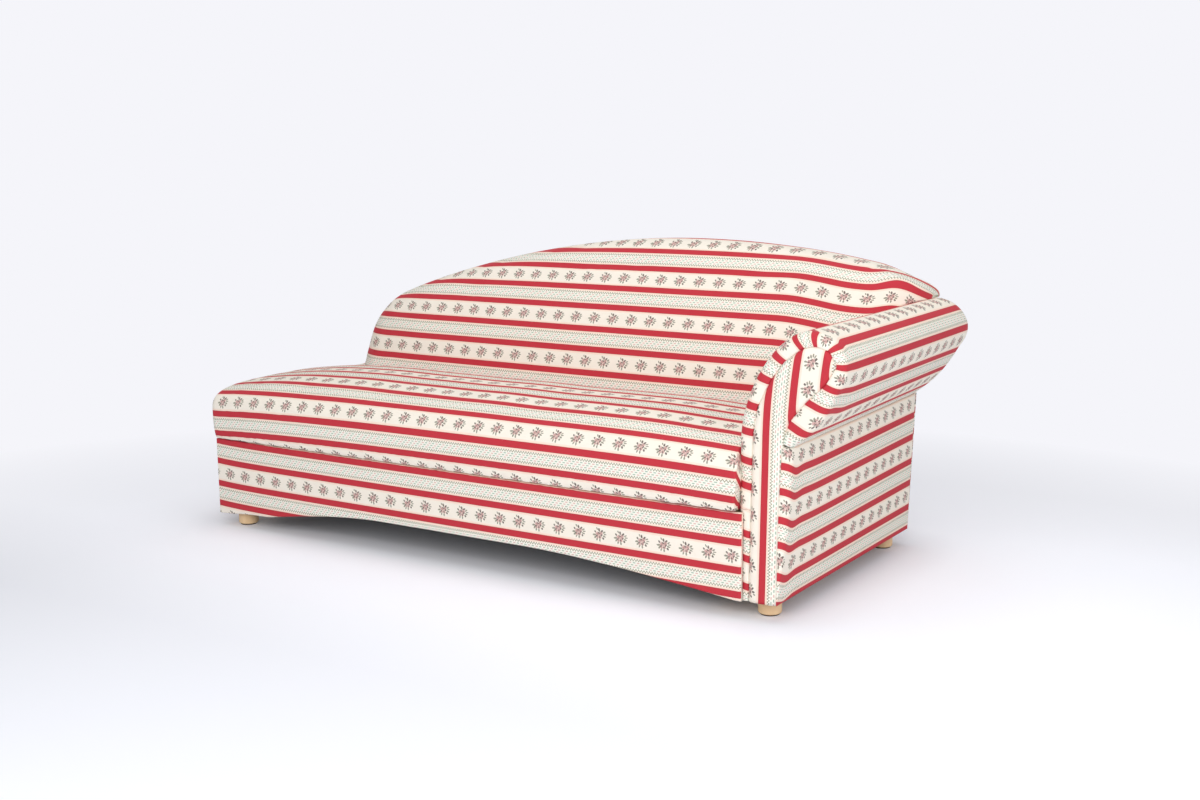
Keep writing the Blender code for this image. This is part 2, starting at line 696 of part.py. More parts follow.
def back_stations():
    """Where the back's sections stand, each with the height of its underside.

    Past the arm's inner face they stand on the corners of the arm's sweep.
    """
    left = BACK_LEFT_END
    stations = []
    for angle in between(0.0, math.pi / 2, BACK_SHOULDER_STEPS):
        stations.append((left + BACK_SHOULDER_RUN * (1.0 - math.cos(angle)), BACK_BOTTOM))
    level_right = ARM_INNER - BACK_STEP_MIN
    for x in between(left + BACK_SHOULDER_RUN, level_right, BACK_MIDDLE_STEPS)[1:]:
        stations.append((x, BACK_BOTTOM))
    for x, z in arm_path()[1:2 + ARM_SWEEP_STEPS]:
        stations.append((x - GAP, z + GAP))
    return stations


def end_round(distance, radius):
    """How far a rounded end has drawn in at a distance from its tip."""
    if distance >= radius:
        return 0.0
    return radius - math.sqrt(radius**2 - (radius - distance) ** 2)


def back_step(x, bottom):
    """Height at which the pad reaches over the top rail to the outside back."""
    return max(back_top(x) - BACK_WRAP, bottom + BACK_STEP_MIN)


def back_section(x, bottom):
    """The back pad's outline in y and z at one station."""
    top = back_top(x)
    size = min((top - bottom) / BACK_FULL_ROUND_HEIGHT, 1.0)
    round_front = BACK_TOP_ROUND * size
    tuck = BACK_TUCK * size
    drawn = end_round(x - BACK_LEFT_END, BACK_LEFT_ROUND) + end_round(ROLL_REACH - x, BACK_RIGHT_ROUND)
    lean = math.tan(BACK_LEAN)

    def front_y(z):
        return BACK_CREASE_DEPTH + drawn + (z - BACK_BOTTOM) * lean

    start = top - round_front * (1.0 - math.sin(BACK_LEAN))
    points = [(front_y(bottom) + tuck, bottom)]
    points += [(front_y(z), z) for z in between(bottom + tuck, start, BACK_FRONT_STEPS)]
    centre = (front_y(start) + round_front * math.cos(BACK_LEAN), top - round_front)
    for angle in between(BACK_LEAN, math.pi / 2, BACK_TOP_STEPS)[1:]:
        points.append((centre[0] - round_front * math.cos(angle), centre[1] + round_front * math.sin(angle)))
    step = back_step(x, bottom)
    outside = (rear_y(step), step)
    points += quarter(points[-1], outside, BACK_REAR_POWER, BACK_REAR_STEPS, upright_first=False)
    points.append((rear_y(step, STACK_DEPTH) - GAP, step))
    points.append((rear_y(bottom, STACK_DEPTH) - GAP, bottom))
    return points


def step_line():
    """The pad's reach over the back frame, from station to station."""
    return [(x, back_step(x, bottom)) for x, bottom in back_stations()]


def outside_back_outline():
    """The outside back: behind the base, the arm's end and the back up to its roll."""
    arm_end = inward(arm_path(), PANEL_MARGIN)
    roll = arm_end[2 + ARM_SWEEP_STEPS:][::-1]
    points = [(LEFT_END, BASE_BOTTOM), (-PANEL_MARGIN, BASE_BOTTOM)] + roll
    points += [(x, z - GAP) for x, z in reversed(step_line())]
    points.append((LEFT_END, BACK_BOTTOM + BACK_STEP_MIN - GAP))
    return [(x, along_rake(z, PANEL_THICKNESS)) for x, z in points]


def line_height(line, x):
    """Height of a line of points at x."""
    for (x0, z0), (x1, z1) in zip(line, line[1:]):
        if x0 <= x <= x1:
            return z0 + (z1 - z0) * (x - x0) / (x1 - x0)
    return min(line[0][1], line[-1][1])


def build_back():
    rings = []
    for x, bottom in back_stations():
        rings.append([(x, y, z) for y, z in back_section(x, bottom)])
    loft("back_cushion", rings, FABRIC)
    front_plate("outside_back", outside_back_outline(), -PANEL_THICKNESS, PANEL_THICKNESS, FABRIC, TILT)

    line = [(x, along_rake(z - GAP, POST_DEPTH)) for x, z in step_line()]
    stations = [POST_LEFT] + [x for x, z in line if POST_LEFT < x < POST_RIGHT] + [POST_RIGHT]
    upper = [(x, line_height(line, x)) for x in stations]
    lower = [(x, z - TOP_RAIL_HEIGHT) for x, z in upper]
    front_plate("back_top_rail", upper + lower[::-1], -POST_DEPTH, POST_THICKNESS, FRAME_WOOD, TILT)

    foot = along_rake(RAIL_TOP + GAP, 0.0)
    places = between(POST_LEFT, POST_RIGHT - POST_WIDTH, POST_COUNT - 1)
    for number, x in enumerate(places, 1):
        head = min(line_height(lower, x), line_height(lower, x + POST_WIDTH)) - GAP
        high = (x + POST_WIDTH, POST_THICKNESS - POST_DEPTH, head)
        box(f"back_post_{number}", (x, -POST_DEPTH, foot), high, FRAME_WOOD, TILT)

    for number, middle in enumerate(spread(POST_LEFT, POST_RIGHT, WEB_COUNT), 1):
        left = middle - WEB_WIDTH / 2
        right = middle + WEB_WIDTH / 2
        head = min(line_height(upper, left), line_height(upper, right)) - WEB_MARGIN
        low = (left, -STACK_DEPTH, foot)
        high = (right, WEB_THICKNESS - STACK_DEPTH, head)
        box(f"back_webbing_{number}", low, high, WEBBING, TILT)


# Feet and bolts


def build_foot(name, x, y, carrier):
    """A turned foot on its glide, with the bolt that holds it to what carries it."""
    glide_profile = [(0.0, GLIDE_THICKNESS), (GLIDE_RADIUS, GLIDE_THICKNESS), (GLIDE_RADIUS, 0.0), (0.0, 0.0)]
    turned(f"glide_{name}", glide_profile, TURNED_STEPS, GLIDE).location = (x, y, 0.0)
    foot_low = GLIDE_THICKNESS + GAP
    foot_profile = [
        (0.0, FOOT_HEIGHT),
        (FOOT_RADIUS - FOOT_EDGE, FOOT_HEIGHT),
        (FOOT_RADIUS, FOOT_HEIGHT - FOOT_EDGE),
        (FOOT_RADIUS, foot_low + FOOT_EDGE),
        (FOOT_RADIUS - FOOT_EDGE, foot_low),
        (0.0, foot_low),
    ]
    foot = turned(f"foot_{name}", foot_profile, TURNED_STEPS, BEECH)
    foot.location = (x, y, 0.0)
    bolt_low = FOOT_HEIGHT - FOOT_BOLT_IN_FOOT
    bolt_high = FOOT_HEIGHT + FOOT_BOLT_IN_FRAME
    bolt_profile = [(0.0, bolt_high), (BOLT_RADIUS, bolt_high), (BOLT_RADIUS, bolt_low), (0.0, bolt_low)]
    turned(f"foot_bolt_{name}", bolt_profile, BOLT_STEPS, STEEL).location = (x, y, 0.0)
    length = bolt_high - bolt_low + 2 * GAP
    cutter = bolt_cutter(f"foot_hole_{name}", length, (x, y, bolt_low - GAP), (0.0, 0.0, 0.0))
    cut(foot, cutter)
    cut(carrier, cutter)


def build_arm_bolts(right_rail, pad, bottom_rail, front, rear):
    """Bolts from inside the base, through the arm's padding, into the arm's bottom rail."""
    head_face = RAIL_RIGHT - RAIL_THICKNESS - GAP
    tip = ARM_INNER + ARM_PAD_THICKNESS + ARM_BOLT_GRIP
    height = BASE_BOTTOM + ARM_BOLT_RISE
    along_x = (0.0, -math.pi / 2, 0.0)
    for number, y in enumerate(spread(front, rear, ARM_BOLT_COUNT), 1):
        length = tip - head_face
        profile = [
            (0.0, BOLT_HEAD_HEIGHT),
            (BOLT_HEAD_RADIUS, BOLT_HEAD_HEIGHT),
            (BOLT_HEAD_RADIUS, 0.0),
            (BOLT_RADIUS, 0.0),
            (BOLT_RADIUS, -length),
            (0.0, -length),
        ]
        bolt = turned(f"arm_bolt_{number}", profile, BOLT_STEPS, STEEL)
        bolt.location = (head_face, y, height)
        bolt.rotation_euler = along_x
        reach = length + GAP + BOLT_HEAD_HEIGHT
        hole_start = (tip + GAP, y, height)
        cutter = bolt_cutter(f"arm_hole_{number}", reach, hole_start, along_x)
        for piece in (right_rail, pad, bottom_rail):
            cut(piece, cutter)


def build_feet(blocks, arm_rail, arm_x, arm_front, arm_rear):
    left_x = BAY_LEFT + FOOT_INSET_X
    build_foot("front_left", left_x, BAY_FRONT + FOOT_INSET_Y, blocks["front", "left"])
    build_foot("rear_left", left_x, BAY_REAR - FOOT_INSET_Y, blocks["rear", "left"])
    build_foot("front_right", arm_x, arm_front + ARM_FOOT_INSET, arm_rail)
    build_foot("rear_right", arm_x, arm_rear - ARM_FOOT_INSET, arm_rail)


def main():
    right_rail, blocks = build_base()
    build_seat_support()
    build_seat()
    pad, arm_rail, arm_x, arm_front, arm_rear = build_arm()
    build_back()
    build_feet(blocks, arm_rail, arm_x, arm_front, arm_rear)
    build_arm_bolts(right_rail, pad, arm_rail, arm_front, arm_rear)


main()
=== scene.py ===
"""Looks of a three-seat settee with one scroll arm, laid out as an add-on.

Each upholstered piece is drawn in the settee's own coordinates: x = 0 on the outer side of the arm,
y = 0 on the front of the base, z = 0 on the floor. The frame says where that corner is. Cloth is laid
with a map in metres: the first number runs along the stripes, the second runs across them.
"""

import math

import bmesh
import bpy
import numpy as np
from bpy.props import FloatProperty, FloatVectorProperty, PointerProperty
from mathutils import Matrix, Vector


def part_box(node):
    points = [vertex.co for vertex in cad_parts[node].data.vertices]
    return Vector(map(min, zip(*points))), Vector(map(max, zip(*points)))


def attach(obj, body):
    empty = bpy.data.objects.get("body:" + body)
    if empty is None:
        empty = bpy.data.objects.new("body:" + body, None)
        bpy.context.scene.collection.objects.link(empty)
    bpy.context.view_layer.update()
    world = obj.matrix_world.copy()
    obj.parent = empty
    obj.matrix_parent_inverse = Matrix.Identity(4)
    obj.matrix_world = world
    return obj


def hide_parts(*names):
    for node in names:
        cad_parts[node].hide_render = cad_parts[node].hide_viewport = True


bl_info = {
    "name": "Striped settee",
    "version": (1, 0, 0),
    "blender": (4, 5, 0),
    "location": "View3D > Sidebar > Settee",
    "description": "Upholsters the frame of a one-armed settee in striped cloth",
    "category": "Add Mesh",
}

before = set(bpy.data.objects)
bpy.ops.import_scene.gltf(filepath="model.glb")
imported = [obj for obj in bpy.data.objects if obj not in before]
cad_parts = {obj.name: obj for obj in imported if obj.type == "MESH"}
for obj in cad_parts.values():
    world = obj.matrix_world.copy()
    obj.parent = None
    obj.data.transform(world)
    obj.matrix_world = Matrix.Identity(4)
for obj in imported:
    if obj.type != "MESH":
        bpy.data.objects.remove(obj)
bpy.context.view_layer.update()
BODY = "root"

# Places read from the frame
ARM_WIDTH = 0.105
CORNER = Vector((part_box("arm_pad")[0].x + ARM_WIDTH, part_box("base_front_cover")[0].y, 0.0))
NOTCH_CLEARANCE = 0.008
NOTCH_STEP = 0.002


def reach_of(node):
    """Both corners of a frame node's box in the settee's coordinates."""
    return [[place - start for place, start in zip(corner, CORNER)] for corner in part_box(node)]


(LEFT_END, _, BASE_BOTTOM), (COVER_RIGHT, _, BASE_TOP) = reach_of("base_front_cover")
(SEAT_LEFT, SEAT_FRONT, SEAT_BOTTOM), (SEAT_RIGHT, SEAT_END_REAR, SEAT_CREST) = reach_of("seat_cushion")
(BACK_LEFT, _, BACK_BOTTOM), (_, _, BACK_HIGH) = reach_of("back_cushion")
(ARM_INNER, ARM_FRONT, _), (ARM_OUTERMOST, _, ARM_CREST) = reach_of("arm_pad")
SEAT_NOTCH = reach_of("back_post_1")[0][0] - NOTCH_CLEARANCE
REAR_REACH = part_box("outside_back")[1] - CORNER

# Forms that the frame's boxes don't give
RAKE = math.radians(5.0)
BASE_DEPTH = REAR_REACH.y - math.tan(RAKE) * REAR_REACH.z
PANEL_THICKNESS = 0.006
SKIN_GAP = 0.0006
SPRIG_SHIFT = -0.0123


def srgb(red, green, blue):
    """A colour from its usual 0 to 255 numbers, in the linear numbers that shaders use."""
    linear = []
    for level in (red, green, blue):
        share = level / 255
        linear.append(share / 12.92 if share <= 0.04045 else ((share + 0.055) / 1.055) ** 2.4)
    return tuple(linear)


def length_property(name, description, default):
    look = {"min": 0.0, "unit": "LENGTH", "precision": 4}
    return FloatProperty(name=name, description=description, default=default, **look)


def plain_property(name, description, default, unit="NONE"):
    return FloatProperty(name=name, description=description, default=default, min=0.0, unit=unit)


def colour_property(name, description, default):
    return FloatVectorProperty(
        name=name, description=description, default=default, size=3, min=0.0, max=1.0, subtype="COLOR"
    )


class SetteeCloth(bpy.types.PropertyGroup):
    """The striped cloth."""

    repeat: length_property("Repeat", "From one dotted band to the next, across the stripes", 0.1287)
    dotted_band: length_property("Dotted band", "Between the red stripes round a dotted band", 0.0602)
    red_stripe: length_property("Red stripe", "Width of a red stripe", 0.0168)
    sprig_pitch: length_property("Sprig pitch", "From one sprig of flowers to the next", 0.0621)
    thread: length_property("Thread", "From one thread of the weave to the next", 0.0016)
    ground: colour_property("Ground", "Ground of the flowered band", srgb(250, 242, 229))
    pale_ground: colour_property("Pale ground", "Ground of the dotted band", srgb(247, 245, 234))
    red: colour_property("Red", "Satin stripes", srgb(205, 59, 70))
    deep_red: colour_property("Deep red", "Shaded threads and edges of the satin stripes", srgb(160, 36, 48))
    peach: colour_property("Peach", "Soft bands beside the red stripes", srgb(253, 227, 210))
    olive: colour_property("Olive", "Zigzag edge of the dotted band", srgb(138, 132, 100))
    green: colour_property("Green", "Green dashes", srgb(158, 184, 164))
    pink: colour_property("Pink", "Pink dashes", srgb(221, 178, 170))
    blossom: colour_property("Blossom", "Petals of the blossoms", srgb(226, 194, 186))
    rose: colour_property("Rose", "Folds of the blossoms", srgb(180, 136, 130))
    leaf: colour_property("Leaf", "Leaves of the sprigs", srgb(150, 148, 132))
    dark_leaf: colour_property("Dark leaf", "Shaded leaves of the sprigs", srgb(112, 102, 96))


class SetteeUpholstery(bpy.types.PropertyGroup):
    """How the covers sit."""

    pucker: length_property("Pucker", "Height of the puckers along sewn edges", 0.0034)
    pucker_pitch: length_property("Pucker pitch", "From one pucker to the next", 0.034)
    slack: length_property("Slack", "Height of the soft waves in the covers", 0.0014)
    seam_depth: length_property("Seam depth", "How far a sewn edge is pulled in", 0.005)
    lumbar: length_property("Lumbar", "How far the middle of the back stands proud of a plain slope", 0.018)
    arm_flare: length_property("Arm flare", "How far the arm's front spreads outwards under its roll", 0.030)
    facing_crown: length_property("Facing crown", "How far the arm's front panel is stuffed out", 0.004)
    settle_most: length_property("Settle most", "The furthest that a cover moves while it settles", 0.005)
    pressure: plain_property("Pressure", "Push of the filling as a cover settles", 1.0)
    stiffness: plain_property("Stiffness", "Pull of the cloth against stretch", 60.0)
    bending: plain_property("Bending", "Pull of the cloth against folding", 2.0)


class SetteeFinish(bpy.types.PropertyGroup):
    """Feet, frame and stage."""

    beech: colour_property("Beech", "Turned feet", srgb(244, 214, 172))
    beech_dark: colour_property("Beech grain", "Grain of the turned feet", srgb(224, 184, 134))
    glide: colour_property("Glide", "Plastic glides under the feet", srgb(66, 52, 44))
    frame_wood: colour_property("Frame wood", "Rails, posts and boards", srgb(196, 160, 112))
    frame_grain: colour_property("Frame grain", "Grain of rails, posts and boards", srgb(160, 120, 78))
    steel: colour_property("Steel", "Springs and bolts", srgb(170, 170, 172))
    webbing: colour_property("Webbing", "Straps and platform", srgb(122, 104, 78))
    dust_cloth: colour_property("Dust cloth", "Cloth under the base", srgb(46, 46, 48))
    floor: colour_property("Floor", "Studio floor", srgb(242, 244, 251))
    backdrop: colour_property("Backdrop", "Behind the settee", srgb(245, 245, 250))
    key_power: plain_property("Key power", "Large lamp in front", 96.0, "POWER")
    top_power: plain_property("Top power", "Large lamp above", 40.0, "POWER")
    side_power: plain_property("Side power", "Lamp beside the arm", 32.0, "POWER")
    sky: FloatProperty(name="Sky", description="Even light from all round", default=0.34, min=0.0, max=2.0)


# Shader arithmetic


class Signal:
    """A number that varies over a surface: a shader socket with plain arithmetic."""

    def __init__(self, tree, socket):
        self.tree = tree
        self.socket = socket

    def math(self, operation, *others, clamp=False):
        node = self.tree.nodes.new("ShaderNodeMath")
        node.operation = operation
        node.use_clamp = clamp
        for number, value in enumerate((self, *others)):
            if isinstance(value, Signal):
                self.tree.links.new(value.socket, node.inputs[number])
            else:
                node.inputs[number].default_value = value
        return Signal(self.tree, node.outputs[0])

    def __add__(self, other):
        return self.math("ADD", other)

    def __sub__(self, other):
        return self.math("SUBTRACT", other)

    def __mul__(self, other):
        return self.math("MULTIPLY", other)

    def __truediv__(self, other):
        return self.math("DIVIDE", other)

    def __abs__(self):
        return self.math("ABSOLUTE")

    def less_from(self, whole):
        """A whole less this number."""
        return (self * -1.0) + whole

    def wrapped(self, period):
        """The place inside one repeat, from nought to the period."""
        return self.math("FLOORED_MODULO", period)

    def centred(self, period):
        """The place inside one repeat, from minus half to plus half of the period."""
        return (self + period / 2).wrapped(period) - period / 2

    def below(self, limit, soft):
        """One where the number is below a limit, with a soft edge."""
        return ((self - limit) * (-1.0 / soft)).math("ADD", 0.5, clamp=True)

    def least(self, other):
        return self.math("MINIMUM", other)

    def most(self, other):
        return self.math("MAXIMUM", other)

    def wave(self, period):
        return (self * (2 * math.pi / period)).math("SINE")

    def snapped(self, step):
        """The number rounded down to a whole count of steps, and moved to the step's middle."""
        return self.math("SNAP", step) + step / 2


def parts_of(tree, vector):
    """The first two numbers of a vector socket."""
    node = tree.nodes.new("ShaderNodeSeparateXYZ")
    tree.links.new(vector, node.inputs[0])
    return Signal(tree, node.outputs[0]), Signal(tree, node.outputs[1])


def radius_of(across, up):
    return (across * across + up * up).math("SQRT")


def blank_material(name):
    """An empty material and its node tree."""
    material = bpy.data.materials.new(name)
    material.use_nodes = True
    material.node_tree.nodes.clear()
    return material, material.node_tree


def principled(tree, settings):
    """The surface shader, with its constants set on its own sockets."""
    shader = tree.nodes.new("ShaderNodeBsdfPrincipled")
    output = tree.nodes.new("ShaderNodeOutputMaterial")
    tree.links.new(shader.outputs[0], output.inputs[0])
    for name, value in settings.items():
        shader.inputs[name].default_value = value
    return shader


def rgba(colour):
    return (*colour, 1.0)


def dyed(tree, under, colour, mask):
    """A colour laid over another where a mask says. Either colour may be a socket."""
    mix = tree.nodes.new("ShaderNodeMix")
    mix.data_type = "RGBA"
    tree.links.new(mask.socket, mix.inputs["Factor"])
    for name, value in (("A", under), ("B", colour)):
        socket = next(s for s in mix.inputs if s.name == name and s.type == "RGBA")
        if isinstance(value, bpy.types.NodeSocket):
            tree.links.new(value, socket)
        else:
            socket.default_value = rgba(value)
    return next(s for s in mix.outputs if s.type == "RGBA")


def noise(tree, vector, scale, detail=2.0, roughness=0.5):
    node = tree.nodes.new("ShaderNodeTexNoise")
    node.inputs["Scale"].default_value = scale
    node.inputs["Detail"].default_value = detail
    node.inputs["Roughness"].default_value = roughness
    tree.links.new(vector, node.inputs["Vector"])
    return Signal(tree, node.outputs[0])


def bumped(tree, shader, height, distance, strength):
    bump = tree.nodes.new("ShaderNodeBump")
    bump.inputs["Strength"].default_value = strength
    bump.inputs["Distance"].default_value = distance
    tree.links.new(height.socket, bump.inputs["Height"])
    tree.links.new(bump.outputs[0], shader.inputs["Normal"])


# The striped cloth

EDGE = 0.0007
STITCH = 0.0009
PEACH_BAND = 0.0055
RED_EDGE = 0.0009
ZIGZAG_PLACE = 0.0130
ZIGZAG_HEIGHT = 0.0060
ZIGZAG_PITCH = 0.0078
ZIGZAG_LINE = 0.0026
DASH_PITCH = 0.0118
DASH_ROW = 0.0058
DASH_LENGTH = 0.0070
DASH_WIDTH = 0.0023
PEACH_SOFT = 0.0025
RAGGED_SCALE = 210.0
RAGGED = 0.003
LEAF_SOFT = 0.3
PETALS = 5.0
PETAL_DEPTH = 0.14
BLOSSOM_EDGE = 0.95
BLOSSOM_SOFT = 0.12
FOLD_MIDDLE = 0.34
FOLD_RING = 0.66
FOLD_LINE = 0.08
THREAD_SCALE = 900.0
SATIN_SHADE = 0.4
WEAVE_HEIGHT = 0.0004
WEAVE_STRENGTH = 0.35

# One sprig, from its middle: along and across the stripes. Blossoms add their radius.
BLOSSOMS = (
    (-0.0050, 0.0006, 0.0060),
    (0.0044, 0.0026, 0.0056),
    (0.0020, -0.0066, 0.0046),
    (-0.0058, -0.0076, 0.0034),
)

# Leaves add their direction in degrees, half their length, half their width, and whether they are dark
LEAVES = (
    (-0.0008, 0.0114, 100, 0.0044, 0.0025, True),
    (0.0074, 0.0090, 35, 0.0040, 0.0023, True),
    (0.0112, -0.0094, 310, 0.0032, 0.0025, True),
    (-0.0124, 0.0060, 130, 0.0034, 0.0021, True),
    (-0.0016, 0.0036, 150, 0.0034, 0.0017, True),
    (0.0064, -0.0018, 60, 0.0034, 0.0017, True),
    (-0.0078, -0.0042, 200, 0.0032, 0.0016, True),
    (0.0004, -0.0076, 285, 0.0032, 0.0015, True),
    (-0.0068, 0.0140, 115, 0.0034, 0.0017, False),
    (-0.0148, -0.0024, 185, 0.0050, 0.0025, False),
    (-0.0116, -0.0080, 220, 0.0044, 0.0023, False),
    (-0.0068, -0.0130, 250, 0.0040, 0.0020, False),
    (0.0012, -0.0142, 275, 0.0044, 0.0021, False),
    (0.0138, -0.0038, 345, 0.0046, 0.0019, False),
    (0.0166, 0.0012, 5, 0.0044, 0.0016, False),
    (0.0140, 0.0060, 30, 0.0044, 0.0018, False),
)


def dotted_masks(along, across):
    """Masks of the dotted band: zigzag edges, green dashes and pink dashes."""
    tooth = abs(along.centred(ZIGZAG_PITCH)) * (2 * ZIGZAG_HEIGHT / ZIGZAG_PITCH) - ZIGZAG_HEIGHT / 2
    zigzag = abs(abs(across) - tooth - ZIGZAG_PLACE).below(ZIGZAG_LINE / 2, EDGE)
    row = (across / DASH_ROW + 0.5).math("FLOOR")
    shifted = along + row * (DASH_PITCH / 2)
    ends = abs(shifted.centred(DASH_PITCH)) * (DASH_WIDTH / DASH_LENGTH)
    dash = ends.most(abs(across - row * DASH_ROW)).below(DASH_WIDTH / 2, EDGE)
    inside = abs(across).below(DASH_ROW * 1.5, EDGE)
    green = ((shifted / DASH_PITCH + 0.5).math("FLOOR") + row).wrapped(2.0).below(0.5, 0.1)
    return zigzag, dash * inside * green, dash * inside * green.less_from(1.0)


def placed(tree, vector, place, turn, size):
    """A map seen from a place in it, turned and measured in units of a size: along and across."""
    node = tree.nodes.new("ShaderNodeMapping")
    node.vector_type = "TEXTURE"
    node.inputs["Location"].default_value = (*place, 0.0)
    node.inputs["Rotation"].default_value = (0.0, 0.0, turn)
    node.inputs["Scale"].default_value = (*size, 1.0)
    tree.links.new(vector, node.inputs["Vector"])
    return parts_of(tree, node.outputs[0])


def sprig_masks(tree, cloth_map, along, across, pitch):
    """Masks of a sprig: leaves, dark leaves, blossoms and their folds."""
    ragged = noise(tree, cloth_map, RAGGED_SCALE) - 0.5
    joined = tree.nodes.new("ShaderNodeCombineXYZ")
    uneven = ragged * RAGGED
    for socket, value in zip(joined.inputs, (along.centred(pitch) + uneven, across - uneven)):
        tree.links.new(value.snapped(STITCH).socket, socket)
    leaves = {False: None, True: None}
    for right, up, degrees, length, width, dark in LEAVES:
        turn = math.radians(degrees)
        lengthwise, sideways = placed(tree, joined.outputs[0], (right, up), turn, (length, width))
        leaf = radius_of(lengthwise, sideways).below(1.0, LEAF_SOFT)
        leaves[dark] = leaf if leaves[dark] is None else leaves[dark].most(leaf)
    blossoms = None
    folds = None
    for right, up, size in BLOSSOMS:
        beside, above = placed(tree, joined.outputs[0], (right, up), 0.0, (size, size))
        away = radius_of(beside, above)
        petals = (above.math("ARCTAN2", beside) * PETALS).math("COSINE") * PETAL_DEPTH
        blossom = (away + petals).below(BLOSSOM_EDGE, BLOSSOM_SOFT)
        ring = abs(away + petals - FOLD_RING).below(FOLD_LINE, BLOSSOM_SOFT)
        fold = away.below(FOLD_MIDDLE, BLOSSOM_SOFT).most(ring)
        blossoms = blossom if blossoms is None else blossoms.most(blossom)
        folds = fold if folds is None else folds.most(fold)
    return leaves[False], leaves[True], blossoms, folds


def striped_cloth(cloth):
    """Woven stripes with sprigs of flowers, laid by the cloth map."""
    material, tree = blank_material("settee_stripe")
    cloth_map = tree.nodes.new("ShaderNodeUVMap")
    cloth_map.uv_map = "cloth"
    along, across = parts_of(tree, cloth_map.outputs[0])
    place = across.wrapped(cloth.repeat)

    from_red = abs(across.centred(cloth.repeat)).least(abs(place - cloth.dotted_band))
    half_red = cloth.red_stripe / 2
    red = from_red.below(half_red, EDGE)
    red_edge = abs(from_red - half_red).below(RED_EDGE / 2, EDGE)
    beside_red = from_red.below(half_red + PEACH_BAND, PEACH_SOFT)
    in_dotted = place.below(cloth.dotted_band, EDGE)
    in_sprig = in_dotted.less_from(1.0)
    zigzag, green, pink = (mask * in_dotted for mask in dotted_masks(along, place - cloth.dotted_band / 2))
    sprig_middle = (cloth.dotted_band + cloth.repeat) / 2
    sprig_map = sprig_masks(tree, cloth_map.outputs[0], along, place - sprig_middle, cloth.sprig_pitch)
    leaves, dark, blossoms, folds = (mask * in_sprig for mask in sprig_map)

    threads = noise(tree, cloth_map.outputs[0], THREAD_SCALE, detail=1.0)
    satin = dyed(tree, cloth.red, cloth.deep_red, threads * SATIN_SHADE)
    colour = dyed(tree, cloth.ground, cloth.pale_ground, in_dotted)
    for paint, mask in (
        (cloth.peach, beside_red),
        (cloth.olive, zigzag),
        (cloth.green, green),
        (cloth.pink, pink),
        (cloth.leaf, leaves),
        (cloth.blossom, blossoms),
        (cloth.rose, folds),
        (cloth.dark_leaf, dark),
        (satin, red),
        (cloth.deep_red, red_edge),
    ):
        colour = dyed(tree, colour, paint, mask)

    shader = principled(tree, {"Specular IOR Level": 0.18, "Sheen Weight": 0.03, "Sheen Roughness": 0.4})
    tree.links.new(colour, shader.inputs["Base Color"])
    rough = (threads * 0.12 + 0.76) - red * 0.14
    tree.links.new(rough.socket, shader.inputs["Roughness"])
    weave = along.wave(cloth.thread) * across.wave(cloth.thread)
    ribs = across.wave(cloth.thread * 0.75) * red
    height = weave * red.less_from(1.0) + ribs * 0.6 + threads * 0.8 + (leaves + blossoms + zigzag) * 0.5
    bumped(tree, shader, height, WEAVE_HEIGHT, WEAVE_STRENGTH)
    return material


# Hard finishes


def wood(name, light, dark, ring_scale, roughness):
    """Straight-grained wood from stretched noise and growth rings."""
    material, tree = blank_material(name)
    place = tree.nodes.new("ShaderNodeTexCoord")
    stretch = tree.nodes.new("ShaderNodeMapping")
    stretch.inputs["Scale"].default_value = (ring_scale, ring_scale, ring_scale * 0.12)
    tree.links.new(place.outputs["Object"], stretch.inputs["Vector"])
    grain = noise(tree, stretch.outputs[0], 6.0, detail=6.0, roughness=0.62)
    pores = noise(tree, stretch.outputs[0], 60.0, detail=2.0)
    mask = (grain * 0.75 + pores * 0.35).math("SUBTRACT", 0.2, clamp=True)
    shader = principled(tree, {"Specular IOR Level": 0.4})
    tree.links.new(dyed(tree, light, dark, mask), shader.inputs["Base Color"])
    tree.links.new((pores * 0.2 + roughness).socket, shader.inputs["Roughness"])
    bumped(tree, shader, pores, 0.0003, 0.25)
    return material


def speckled(name, colour, shade, scale, roughness, metallic=0.0, bump=0.2):
    """Plastic, wire, webbing or dust cloth: one colour with fine variation."""
    material, tree = blank_material(name)
    place = tree.nodes.new("ShaderNodeTexCoord")
    grain = noise(tree, place.outputs["Object"], scale, detail=3.0)
    darker = tuple(level * shade for level in colour)
    shader = principled(tree, {"Metallic": metallic, "Specular IOR Level": 0.35})
    tree.links.new(dyed(tree, colour, darker, grain), shader.inputs["Base Color"])
    tree.links.new((grain * 0.2 + roughness - 0.1).socket, shader.inputs["Roughness"])
    bumped(tree, shader, grain, 0.0003, bump)
    return material


def cloth_material(context):
    """The striped cloth, which is made once and then shared."""
    return bpy.data.materials.get("settee_stripe") or striped_cloth(context.scene.settee_cloth)


# Lines and grids

SEAM_WELD = 0.00002
SLIVER = 0.000001
PUCKER_REACH = 0.03
PUCKER_RISE = 0.6
SETTLE_FRAMES = 20
HELD_MARGIN = 0.004


def quarter(start, end, power, steps, upright_first):
    """A quarter of a superellipse from one point to another, without its start."""
    angle = np.linspace(0.0, math.pi / 2, steps + 1)[1:]
    slow = 1.0 - np.clip(np.cos(angle), 0.0, 1.0) ** (2.0 / power)
    fast = np.sin(angle) ** (2.0 / power)
    across, up = (slow, fast) if upright_first else (fast, slow)
    return stacked(start[0] + (end[0] - start[0]) * across, start[1] + (end[1] - start[1]) * up)


def eased(value, low, high):
    """Nought below low, one above high, and a smooth step between."""
    share = np.clip((value - low) / (high - low), 0.0, 1.0)
    return share * share * (3.0 - 2.0 * share)


def run_of(points):
    """Distance along a line of points from its start."""
    steps = np.linalg.norm(np.diff(points, axis=0), axis=1)
    return np.concatenate(([0.0], np.cumsum(steps)))


